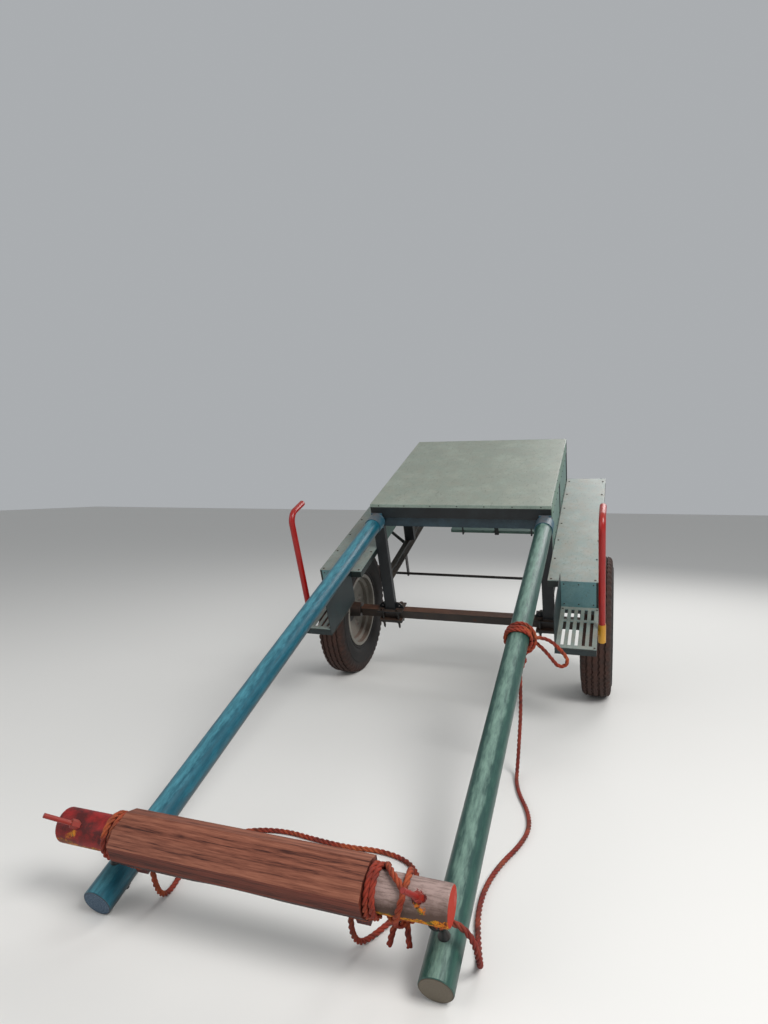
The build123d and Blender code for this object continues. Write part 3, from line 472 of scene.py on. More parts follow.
@dataclass(frozen=True)
class YokeTimber(Finish):
    """Adzed hardwood with worn festival paint: red above and orange below on the round ends.

    It gives the eye thick old paint rubbed to pinkish-grey wood, with a painted highlight and
    dirty open grain on the left end's top, red on the right, speckled orange-yellow with mossy
    patches below, and oiled red-brown timber on the saddle block, its facets with painted
    highlight and painted shade.
    """

    parking: Parking
    centre_mm: Point
    saddle_half_mm: float
    half_length_mm: float
    pin_from_end_mm: float = 79.0
    pin_foot_mm: tuple[float, float] = (27.0, 47.0)
    fray_mm: float = 30.0
    patch_mm: float = 58.0
    open_grain_mm: float = 7.0
    fine_grain_mm: float = 4.0
    figure_mm: float = 17.0
    red: str = "#8E1B1A"
    maroon: str = "#4A1210"
    worn: str = "#9E8881"
    grime_and_shade: str = "#55423A"
    orange: str = "#BE560C"
    yellow: str = "#DC9517"
    speck: str = "#45120A"
    moss: str = "#5B6420"
    rust: str = "#6E1F0D"
    plank: str = "#6E2818"
    plank_light: str = "#94604A"
    plank_dark: str = "#2B0D07"
    plank_under: str = "#2A0B05"
    crack: str = "#170705"
    end_red: str = "#A3260B"

    def shader(self, tree: Tree) -> Node:
        """Adds the round ends and the saddle block between them.

        Args:
            tree: Node tree of the material.

        Returns:
            The shader node.
        """
        place = add_node(tree, "TexCoord").outputs["Object"]
        centre = self.parking.texture_point(*self.centre_mm)
        level = self.parking.unlean(tree, place, {"Location": tuple(-centre)})
        split = add_node(tree, "SeparateXYZ", {"Vector": level})
        outwards = add_node(tree, "Math", {"operation": "ABSOLUTE", 0: split.outputs["Y"]})
        ends, rub = self.round_ends(tree, level, split, outwards)
        planks, grain = self.saddle(tree, level)
        shoulder = self.saddle_half_mm / 1000
        block = add_node(tree, "MapRange", {
            "Value": outwards, "From Min": shoulder + 0.0004, "From Max": shoulder + 0.0002,
        })
        colour = add_node(tree, "Mix", {
            "data_type": "RGBA", SHARE: block, UNDER: ends, OVER: planks,
        })
        matt = add_node(tree, "MapRange", {"Value": rub, "To Min": 0.55, "To Max": 0.8})
        rough = add_node(tree, "Mix", {SHARE: block, FIRST: matt, SECOND: 0.62})
        relief = add_node(tree, "Bump", {"Height": grain, "Strength": 0.5, "Distance": 0.0008})
        return add_node(tree, "BsdfPrincipled", {
            "Base Color": colour, "Roughness": rough, "Normal": relief, "IOR": 1.5,
            "Specular IOR Level": 0.3,
        })

    def round_ends(self, tree: Tree, level: Node, split: Node, outwards: Node) -> tuple[Node, Node]:
        """Adds the painted round ends.

        Args:
            tree: Node tree of the material.
            level: Level coordinates about the yoke's centre.
            split: Node that gives their X, Y and Z; Y runs to the cart's left.
            outwards: Y without its sign.

        Returns:
            Colour and the share of bare, rubbed wood.
        """
        ragged = add_node(tree, "TexNoise", {
            "Vector": level, "Scale": per_mm(self.fray_mm), "Detail": 7.0, "Roughness": 0.72,
        })
        patches = add_node(tree, "TexNoise", {
            "Vector": level, "noise_dimensions": "4D", "W": 5.0,
            "Scale": per_mm(self.patch_mm), "Detail": 6.0, "Roughness": 0.66,
        })
        left = add_node(tree, "MapRange", {
            "Value": split.outputs["Y"], "From Min": -0.1, "From Max": 0.1,
        })
        # Orange climbs a little toward each end, to a ragged line.
        tip = self.half_length_mm / 1000
        climb = add_node(tree, "MapRange", {
            "Value": outwards, "From Min": tip - 0.11, "From Max": tip - 0.02, "To Max": -0.016,
        })
        height = add_node(tree, "Math", {"operation": "ADD", 0: split.outputs["Z"], 1: climb})
        line = add_node(tree, "Math", {
            "operation": "MULTIPLY_ADD", 0: ragged, 1: 0.042, 2: height,
        })
        above = add_node(tree, "MapRange", {
            "Value": line, "From Min": 0.0115, "From Max": 0.0135,
        })
        red_tone = add_node(tree, "MapRange", {
            "Value": patches, "From Min": 0.42, "From Max": 0.60,
        })
        red = add_node(tree, "Mix", {
            "data_type": "RGBA", SHARE: red_tone,
            UNDER: linear(self.maroon), OVER: linear(self.red),
        })
        # Red survives in a ragged patch round each pin's foot, and by chance elsewhere.
        mirrored = add_node(tree, "CombineXYZ", {
            0: split.outputs["X"], 1: outwards, 2: split.outputs["Z"],
        })
        foot_x, foot_z = (size / 1000 for size in self.pin_foot_mm)
        foot_y = (self.half_length_mm - self.pin_from_end_mm) / 1000
        near_pin = self.patch(tree, mirrored, ragged, (foot_x, foot_y - 0.004, foot_z), 0.020)
        kept = add_node(tree, "Math", {
            "operation": "MULTIPLY_ADD", 0: near_pin, 1: -0.17, 2: patches,
        })
        rubbed = add_node(tree, "MapRange", {"Value": kept, "From Min": 0.33, "From Max": 0.38})
        rub = add_node(tree, "Math", {"operation": "MULTIPLY", 0: rubbed, 1: left})
        upper = add_node(tree, "Mix", {
            "data_type": "RGBA", SHARE: rub, UNDER: red, OVER: self.bare_wood(tree, level, line),
        })
        # The right end's orange has gone rusty red.
        rusty = add_node(tree, "MapRange", {
            "Value": patches, "From Min": 0.62, "From Max": 0.44, "To Max": 0.85,
        })
        rust_share = add_node(tree, "MapRange", {
            "Value": left, "From Min": 1.0, "From Max": 0.0, "To Max": rusty,
        })
        lower = add_node(tree, "Mix", {
            "data_type": "RGBA", SHARE: rust_share, UNDER: self.speckled(tree, level),
            OVER: linear(self.rust),
        })
        # A tongue of orange runs down from the pin toward the end.
        tongue_at = (foot_x + 0.016, foot_y + 0.006, foot_z - 0.020)
        tongue = self.patch(tree, mirrored, ragged, tongue_at, 0.008, 3.2, 34.0)
        painted_up = add_node(tree, "Math", {
            "operation": "SUBTRACT", "use_clamp": True, 0: above, 1: tongue,
        })
        ends = add_node(tree, "Mix", {
            "data_type": "RGBA", SHARE: painted_up, UNDER: lower, OVER: upper,
        })
        # Flat end faces keep their red.
        capped = add_node(tree, "MapRange", {
            "Value": outwards, "From Min": tip - 0.0015, "From Max": tip - 0.0005,
        })
        faced = add_node(tree, "Mix", {
            "data_type": "RGBA", SHARE: capped, UNDER: ends, OVER: linear(self.end_red),
        })
        return faced, rub

    def bare_wood(self, tree: Tree, level: Node, line: Node) -> Node:
        """Adds rubbed bare wood with a painted highlight on top, darker just above the orange,
        with dirt in its open grain.

        Args:
            tree: Node tree of the material.
            level: Level coordinates about the yoke's centre.
            line: Height above the yoke's axis with a ragged edge.

        Returns:
            Colour.
        """
        # Painted highlight: the rubbed wood is paler toward its top, darker just above the orange.
        top = add_node(tree, "MapRange", {"Value": line, "From Min": 0.030, "From Max": 0.064})
        wood = add_node(tree, "Mix", {
            "data_type": "RGBA", SHARE: top, UNDER: linear(self.grime_and_shade), OVER: linear(self.worn),
        })
        drawn = add_node(tree, "Mapping", {"Vector": level, "Scale": (1.0, 0.12, 1.0)})
        grain = add_node(tree, "TexNoise", {
            "Vector": drawn, "Scale": per_mm(self.open_grain_mm), "Detail": 9.0, "Roughness": 0.78,
        })
        dirty = add_node(tree, "MapRange", {
            "Value": grain, "From Min": 0.47, "From Max": 0.66, "To Max": 0.85,
        })
        return add_node(tree, "Mix", {
            "data_type": "RGBA", SHARE: dirty, UNDER: wood, OVER: linear(self.grime_and_shade),
        })

    def patch(
        self,
        tree: Tree,
        mirrored: Node,
        ragged: Node,
        centre: Point,
        reach: float,
        stretch: float = 1.0,
        droop_degrees: float = 0.0,
    ) -> Node:
        """Adds a ragged patch or streak at the same place on both ends.

        Args:
            tree: Node tree of the material.
            mirrored: Level coordinates, with Y outwards on both ends.
            ragged: Noise that frays the patch.
            centre: Its middle, in metres from the yoke's centre.
            reach: Half its narrow size in metres.
            stretch: How many times longer it is than narrow.
            droop_degrees: How far its long way falls toward the end.

        Returns:
            1 inside the patch and 0 outside.
        """
        local = add_node(tree, "Mapping", {
            "Vector": mirrored, "vector_type": "TEXTURE", "Location": centre,
            "Rotation": (-math.radians(droop_degrees), 0, 0), "Scale": (1.0, stretch, 1.0),
        })
        away = add_node(tree, "VectorMath", {"operation": "LENGTH", 0: local})
        frayed = add_node(tree, "Math", {"operation": "MULTIPLY_ADD", 0: ragged, 1: 0.05, 2: away})
        return add_node(tree, "MapRange", {
            "Value": frayed, "From Min": reach + 0.027, "From Max": reach + 0.023,
        })

    def speckled(self, tree: Tree, level: Node) -> Node:
        """Adds orange paint with yellow glow, dark specks and mossy patches.

        Args:
            tree: Node tree of the material.
            level: Level coordinates about the yoke's centre.

        Returns:
            Colour.
        """
        colour = linear(self.orange)
        layers = [
            # tint, size in mm, detail, from, to, share, seed
            (self.yellow, 24.0, 5.0, 0.42, 0.62, 0.9, 1.0),
            (self.moss, 26.0, 6.0, 0.515, 0.565, 0.85, 3.0),
            (self.speck, 8.0, 8.0, 0.515, 0.575, 0.9, 7.0),
        ]
        for tint, size_mm, detail, start, full, share, seed in layers:
            noise = add_node(tree, "TexNoise", {
                "Vector": level, "noise_dimensions": "4D", "W": seed,
                "Scale": per_mm(size_mm), "Detail": detail, "Roughness": 0.7,
            })
            mask = add_node(tree, "MapRange", {
                "Value": noise, "From Min": start, "From Max": full, "To Max": share,
            })
            colour = add_node(tree, "Mix", {
                "data_type": "RGBA", SHARE: mask, UNDER: colour, OVER: linear(tint),
            })
        return colour

    def saddle(self, tree: Tree, level: Node) -> tuple[Node, Node]:
        """Adds the saddle block: fine grain across the cart, long cracks, painted light by facet.

        Args:
            tree: Node tree of the material.
            level: Level coordinates about the yoke's centre.

        Returns:
            Colour and the grain's height.
        """
        drawn = add_node(tree, "Mapping", {"Vector": level, "Scale": Grain.ACROSS.value})
        grain = add_node(tree, "TexNoise", {
            "Vector": drawn, "Scale": per_mm(self.fine_grain_mm), "Detail": 6.0, "Roughness": 0.62,
        })
        long_drawn = add_node(tree, "Mapping", {"Vector": level, "Scale": (1.0, 0.018, 1.0)})
        figure = add_node(tree, "TexNoise", {
            "Vector": long_drawn, "Scale": per_mm(self.figure_mm), "Detail": 5.0, "Roughness": 0.6,
        })
        crack = add_node(tree, "MapRange", {"Value": figure, "From Min": 0.36, "From Max": 0.33})
        tone = add_node(tree, "Math", {"operation": "MULTIPLY_ADD", 0: grain, 1: 0.6, 2: figure})
        pale = add_node(tree, "MapRange", {"Value": tone, "From Min": 0.62, "From Max": 0.98})
        colour = add_node(tree, "Mix", {
            "data_type": "RGBA", SHARE: pale,
            UNDER: linear(self.plank_dark), OVER: linear(self.plank),
        })
        # Painted light by facet: facets that look up get a pinkish painted highlight, the front
        # less, and the tapered foot a painted shade.
        normal = add_node(tree, "NewGeometry").outputs["Normal"]
        level_normal = self.parking.unlean(tree, normal, {"vector_type": "VECTOR"})
        upward = add_node(tree, "SeparateXYZ", {"Vector": level_normal}).outputs["Z"]
        lit = add_node(tree, "MapRange", {
            "Value": upward, "From Min": -0.2, "From Max": 0.7, "To Max": 0.85,
        })
        facet_highlight = add_node(tree, "Math", {"operation": "MULTIPLY", 0: lit, 1: pale})
        # Painted shade on the facets that look down.
        under = add_node(tree, "MapRange", {
            "Value": upward, "From Min": -0.15, "From Max": -0.4, "To Max": 0.9,
        })
        tints = ((facet_highlight, self.plank_light), (under, self.plank_under), (crack, self.crack))
        for mask, tint in tints:
            colour = add_node(tree, "Mix", {
                "data_type": "RGBA", SHARE: mask, UNDER: colour, OVER: linear(tint),
            })
        height = add_node(tree, "Math", {"operation": "MULTIPLY_ADD", 0: crack, 1: -1.0, 2: grain})
        return colour, height


@dataclass(frozen=True)
class PlainTimber(Finish):
    """Sawn or carved hardwood, stained or thinly painted, with open grain.

    It gives the eye fine dark lines along the grain and dull, dry wood between them.
    """

    wood: str
    dark: str
    parking: Parking
    grain: Grain
    grain_mm: float = 6.0
    roughness: float = 0.78

    def shader(self, tree: Tree) -> Node:
        """Adds the grain.

        Args:
            tree: Node tree of the material.

        Returns:
            The shader node.
        """
        level = self.parking.unlean(tree, add_node(tree, "TexCoord").outputs["Object"])
        drawn = add_node(tree, "Mapping", {"Vector": level, "Scale": self.grain.value})
        lines = add_node(tree, "TexNoise", {
            "Vector": drawn, "Scale": per_mm(self.grain_mm), "Detail": 9.0, "Roughness": 0.7,
        })
        mask = add_node(tree, "MapRange", {"Value": lines, "From Min": 0.35, "From Max": 0.62})
        colour = add_node(tree, "Mix", {
            "data_type": "RGBA", SHARE: mask, UNDER: linear(self.dark), OVER: linear(self.wood),
        })
        relief = add_node(tree, "Bump", {"Height": lines, "Strength": 0.5, "Distance": 0.0012})
        return add_node(tree, "BsdfPrincipled", {
            "Base Color": colour, "Normal": relief, "IOR": 1.5, "Roughness": self.roughness,
        })


@dataclass(frozen=True)
class DyedRope(Finish):
    """Laid synthetic rope, dyed orange-red, sun-bleached and greasy where it is handled.

    It gives the eye fine fibres along each strand, paler outside and dark in the lay.
    """

    dye: str
    bleached: str
    dirt: str
    fibre_mm: float = 2.2
    bleach_mm: float = 120.0
    grease_mm: float = 45.0

    def shader(self, tree: Tree) -> Node:
        """Adds the dye, its bleached lengths, and grease between the fibres.

        Args:
            tree: Node tree of the material.

        Returns:
            The shader node.
        """
        place = add_node(tree, "TexCoord").outputs["Object"]
        bleach = add_node(tree, "TexNoise", {
            "Vector": place, "Scale": per_mm(self.bleach_mm), "Detail": 5.0, "Roughness": 0.65,
        })
        bleach_mask = add_node(tree, "MapRange", {
            "Value": bleach, "From Min": 0.48, "From Max": 0.72, "To Max": 0.85,
        })
        base = add_node(tree, "Mix", {
            "data_type": "RGBA", SHARE: bleach_mask,
            UNDER: linear(self.dye), OVER: linear(self.bleached),
        })
        fibres = add_node(tree, "TexNoise", {
            "Vector": place, "Scale": per_mm(self.fibre_mm), "Detail": 6.0, "Roughness": 0.75,
        })
        grease = add_node(tree, "TexNoise", {
            "Vector": place, "Scale": per_mm(self.grease_mm), "Detail": 6.0,
        })
        dark = add_node(tree, "Math", {"operation": "MULTIPLY_ADD", 0: fibres, 1: 0.55, 2: grease})
        dirt_mask = add_node(tree, "MapRange", {
            "Value": dark, "From Min": 0.74, "From Max": 1.0, "To Max": 0.8,
        })
        colour = add_node(tree, "Mix", {
            "data_type": "RGBA", SHARE: dirt_mask, UNDER: base, OVER: linear(self.dirt),
        })
        relief = add_node(tree, "Bump", {"Height": fibres, "Strength": 0.6, "Distance": 0.0009})
        return add_node(tree, "BsdfPrincipled", {
            "Base Color": colour, "Normal": relief, "Roughness": 0.78,
            "Sheen Weight": 0.04, "Sheen Roughness": 0.5,
        })


@dataclass(frozen=True)
class MouldedRubber(Finish):
    """Moulded natural rubber tyre, used on laterite roads.

    It gives the eye dull charcoal rubber with red-brown dust on the tread and in the grooves.
    """

    rubber: str = "#141110"
    dust: str = "#3C2116"
    crown_m: float = 0.45
    shoulder_m: float = 0.40
    grime_mm: float = 55.0
    skin_mm: float = 3.0

    def shader(self, tree: Tree) -> Node:
        """Adds the rubber, and dust that thickens toward the tread.

        Args:
            tree: Node tree of the material.

        Returns:
            The shader node.
        """
        place = add_node(tree, "TexCoord").outputs["Object"]
        grime_and_shade = add_node(tree, "TexNoise", {
            "Vector": place, "Scale": per_mm(self.grime_mm), "Detail": 8.0, "Roughness": 0.7,
        })
        # Distance from the axle, which the tyre's mesh carries at each vertex.
        radius = add_node(tree, "Attribute", {"attribute_name": "wheel_radius"}).outputs["Fac"]
        near_road = add_node(tree, "MapRange", {
            "Value": radius, "From Min": self.shoulder_m - 0.03, "From Max": self.crown_m,
            "To Min": 0.1, "To Max": 0.55,
        })
        amount = add_node(tree, "Math", {"operation": "ADD", 0: grime_and_shade, 1: near_road})
        mask = add_node(tree, "MapRange", {
            "Value": amount, "From Min": 0.62, "From Max": 1.08, "To Max": 0.85,
        })
        colour = add_node(tree, "Mix", {
            "data_type": "RGBA", SHARE: mask, UNDER: linear(self.rubber), OVER: linear(self.dust),
        })
        skin = add_node(tree, "TexNoise", {
            "Vector": place, "Scale": per_mm(self.skin_mm), "Detail": 5.0,
        })
        relief = add_node(tree, "Bump", {"Height": skin, "Strength": 0.3, "Distance": 0.0008})
        return add_node(tree, "BsdfPrincipled", {
            "Base Color": colour, "Normal": relief, "Roughness": 0.85, "IOR": 1.52,
        })


@dataclass(frozen=True)
class StudioFloor(Finish):
    """Smooth pale matt floor of a photographer's studio."""

    name: str = "Studio_Floor"
    tone: str = "#DAD8D4"

    def shader(self, tree: Tree) -> Node:
        """Adds the shader node."""
        return add_node(tree, "BsdfPrincipled", {"Base Color": linear(self.tone), "Roughness": 0.9})


@dataclass
class Draft:
    """Vertices and faces of a piece while it is being drawn."""

    vertices: list[Vector] = field(default_factory=list)
    faces: list[tuple[int, ...]] = field(default_factory=list)

    def skin(self, rings: list[list[Vector]], closed: bool = False, foot: bool = True) -> None:
        """Adds a skin over rings of points, each with as many as the first.

        Args:
            rings: The rings from one end to the other.
            closed: Whether the last ring joins the first; an open skin gets flat ends.
            foot: Whether an open skin's first end is flat, not left open on what it sits on.
        """
        base, count, sides = len(self.vertices), len(rings), len(rings[0])
        for ring in rings:
            self.vertices += ring
        for i in range(count if closed else count - 1):
            low, high = base + i * sides, base + (i + 1) % count * sides
            for k in range(sides):
                n = (k + 1) % sides
                self.faces.append((low + k, low + n, high + n, high + k))
        if not closed:
            if foot:
                self.faces.append(tuple(base + k for k in reversed(range(sides))))
            top = base + (count - 1) * sides
            self.faces.append(tuple(top + k for k in range(sides)))

    def piece(
        self, name: str, material: bpy.types.Material, slot: str, body: str, crease_degrees: float
    ) -> bpy.types.Object:
        """Makes a smooth-shaded mesh piece that rides on a body.

        Args:
            name: Object's name.
            material: Finish.
            slot: The record's material slot; not used.
            body: The body that carries the piece.
            crease_degrees: Edges sharper than this stay sharp.

        Returns:
            The new object.
        """
        mesh = bpy.data.meshes.new(name)
        mesh.from_pydata([tuple(v) for v in self.vertices], [], self.faces)
        mesh.update()
        mesh.shade_smooth()
        mesh.set_sharp_from_angle(angle=math.radians(crease_degrees))
        mesh.materials.append(material)
        piece = bpy.data.objects.new(name, mesh)
        bpy.context.scene.collection.objects.link(piece)
        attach(piece, body)
        log.info("%s: %d vertices on %s", name, len(self.vertices), body)
        return piece


def circle(centre: Vector, side: Vector, across: Vector, radii: list[float]) -> list[Vector]:
    """Makes a ring of points about a centre.

    Args:
        centre: Middle of the ring.
        side: Unit vector toward the first point.
        across: Unit vector toward the point a quarter turn on.
        radii: Distance of each point from the centre.

    Returns:
        The points.
    """
    angles = (math.tau * k / len(radii) for k in range(len(radii)))
    return [
        centre + (side * math.cos(angle) + across * math.sin(angle)) * radius
        for angle, radius in zip(angles, radii)
    ]


@dataclass
class Studio:
    """Camera at the photograph's viewpoint, a pale floor and soft light."""

    axle: Vector
    ahead_of_axle: float = 4.552
    left_of_centre: float = 0.987
    height: float = 1.361
    yaw_degrees: float = 19.413
    pitch_degrees: float = 2.32
    focal_pixels: float = 672.0
    picture_height: float = 1024.0
    sensor_mm: float = 24.0
    floor_size: float = 60.0
    sky: str = "#E8ECF0"
    sky_strength: float = 0.5

    def build(self) -> None:
        """Makes the camera, the floor, the lights and the sky."""
        self.camera()
        self.floor()
        self.lights()
        self.world()

    def camera(self) -> None:
        """Makes the camera and gives it to the scene."""
        data = bpy.data.cameras.new("Camera")
        data.sensor_fit = "VERTICAL"
        data.sensor_height = self.sensor_mm
        data.lens = self.focal_pixels / self.picture_height * self.sensor_mm
        camera = bpy.data.objects.new("Camera", data)
        camera.location = (self.axle.x + self.ahead_of_axle, self.left_of_centre, self.height)
        yaw, pitch = math.radians(self.yaw_degrees), math.radians(self.pitch_degrees)
        ahead = Vector(
            (-math.cos(yaw) * math.cos(pitch), -math.sin(yaw) * math.cos(pitch), -math.sin(pitch))
        )
        camera.rotation_euler = ahead.to_track_quat("-Z", "Y").to_euler()
        bpy.context.scene.collection.objects.link(camera)
        bpy.context.scene.camera = camera

    def floor(self) -> None:
        """Makes the floor."""
        half = self.floor_size / 2
        mesh = bpy.data.meshes.new("Floor")
        corners = [(-half, -half, 0), (half, -half, 0), (half, half, 0), (-half, half, 0)]
        mesh.from_pydata(corners, [], [(0, 1, 2, 3)])
        mesh.materials.append(StudioFloor().build())
        floor = bpy.data.objects.new("Floor", mesh)
        bpy.context.scene.collection.objects.link(floor)

    def lights(self) -> None:
        """Makes a broad key from the front left, a fill and a back light."""
        table = [
            # name, place, aim, width, watts
            ("Key", (3.2, 3.6, 4.8), (0.4, 0.0, 0.5), 2.6, 300.0),
            ("Fill", (4.6, -4.2, 2.8), (0.2, 0.0, 0.4), 4.0, 70.0),
            ("Back", (-4.8, 1.8, 4.4), (-0.5, 0.0, 0.8), 3.0, 150.0),
        ]
        for name, place, aim, width, watts in table:
            data = bpy.data.lights.new(name, "AREA")
            data.size = width
            data.energy = watts
            light = bpy.data.objects.new(name, data)
            light.location = place
            light.rotation_euler = (
                (Vector(aim) - Vector(place)).to_track_quat("-Z", "Y").to_euler()
            )
            bpy.context.scene.collection.objects.link(light)

    def world(self) -> None:
        """Makes the pale sky."""
        world = bpy.data.worlds.new("Studio_Sky")
        world.use_nodes = True
        background = world.node_tree.nodes["Background"]
        background.inputs["Color"].default_value = linear(self.sky)
        background.inputs["Strength"].default_value = self.sky_strength
        bpy.context.scene.world = world


def smooth_line(points: list[Point], name: str) -> list[Vector]:
    """Reads the smooth line that a NURBS spline makes of control points.

    Args:
        points: Control points in metres.
        name: Name for the short-lived curve.

    Returns:
        Points along the line, from end to end.
    """
    data = bpy.data.curves.new(name, "CURVE")
    data.dimensions = "3D"
    spline = data.splines.new("NURBS")
    spline.points.add(len(points) - 1)
    for control, place in zip(spline.points, points):
        control.co = (*place, 1.0)
    spline.order_u = 3
    spline.use_endpoint_u = True
    spline.resolution_u = 16
    curve = bpy.data.objects.new(name, data)
    bpy.context.scene.collection.objects.link(curve)
    bpy.context.view_layer.update()
    mesh = bpy.data.meshes.new_from_object(curve)
    line = [v.co.copy() for v in mesh.vertices]
    bpy.data.objects.remove(curve)
    bpy.data.curves.remove(data)
    bpy.data.meshes.remove(mesh)
    return line


def even_steps(line: list[Vector], step: float, closed: bool) -> list[Vector]:
    """Walks a line in equal steps.

    Args:
        line: Points of the line.
        step: Wanted spacing.
        closed: Whether the last point joins the first.

    Returns:
        Evenly spaced points; a closed line's first point isn't repeated.
    """
    path = line + [line[0]] if closed else line
    runs = [(b - a).length for a, b in zip(path, path[1:])]
    total = sum(runs)
    count = max(8, round(total / step))
    out, index, walked = [], 0, 0.0
    for number in range(count if closed else count + 1):
        target = total * number / count
        while index < len(runs) - 1 and walked + runs[index] < target:
            walked += runs[index]
            index += 1
        share = (target - walked) / runs[index] if runs[index] else 0.0
        out.append(path[index].lerp(path[index + 1], min(max(share, 0.0), 1.0)))
    return out


@dataclass
class LaidRope:
    """Three-strand laid rope along a line."""

    radius: float = 0.0095
    strands: int = 3
    strand_share: float = 0.53
    sides: int = 8
    turns_per_metre: float = 15.0
    step: float = 0.0055

    def frames(self, path: list[Vector], closed: bool) -> tuple[list[Vector], list[Vector]]:
        """Carries a sideways direction along the path without twisting it.

        Args:
            path: Evenly spaced points.
            closed: Whether the last joins the first.

        Returns:
            The way ahead and the way aside at each point.
        """
        count = len(path)
        ahead = []
        for i in range(count):
            before = path[i - 1] if closed or i else path[i]
            after = path[(i + 1) % count] if closed or i < count - 1 else path[i]
            ahead.append((after - before).normalized())
        aside = [ahead[0].orthogonal().normalized()]
        for before, now in zip(ahead, ahead[1:]):
            side = before.rotation_difference(now) @ aside[-1]
            aside.append((side - now * side.dot(now)).normalized())
        return ahead, aside

    def draw(self, draft: Draft, line: list[Vector], closed: bool) -> None:
        """Draws the strands.

        Args:
            draft: What gets their vertices and faces.
            line: Centre line.
            closed: Whether the rope joins itself.
        """
        path = even_steps(line, self.step, closed)
        ahead, aside = self.frames(path, closed)
        length = sum((b - a).length for a, b in zip(path, path[1:]))
        twist = self.turns_per_metre * length * math.tau
        if closed:
            # The strands meet themselves again, or each other, where the rope joins.
            last = ahead[-1].rotation_difference(ahead[0]) @ aside[-1]
            gap = math.atan2(ahead[0].dot(last.cross(aside[0])), last.dot(aside[0]))
            between = math.tau / self.strands
            twist = round(twist / between) * between + gap
        strand_radius = self.radius * self.strand_share
        steps = len(path) if closed else len(path) - 1
        for strand in range(self.strands):
            rings = []
            for i, (place, forward, out) in enumerate(zip(path, ahead, aside)):
                angle = math.tau * strand / self.strands + twist * i / steps
                spoke = out * math.cos(angle) + forward.cross(out) * math.sin(angle)
                middle = place + spoke * (self.radius - strand_radius)
                around = forward.cross(spoke)
                rings.append(circle(middle, spoke, around, [strand_radius] * self.sides))
            draft.skin(rings, closed)


@dataclass(frozen=True)
class FreeRoute:
    """A free rope: its piece, its node, its control points, its real length and its lay."""

    name: str
    node: str
    points: tuple[Point, ...]
    length: float
    lay: str


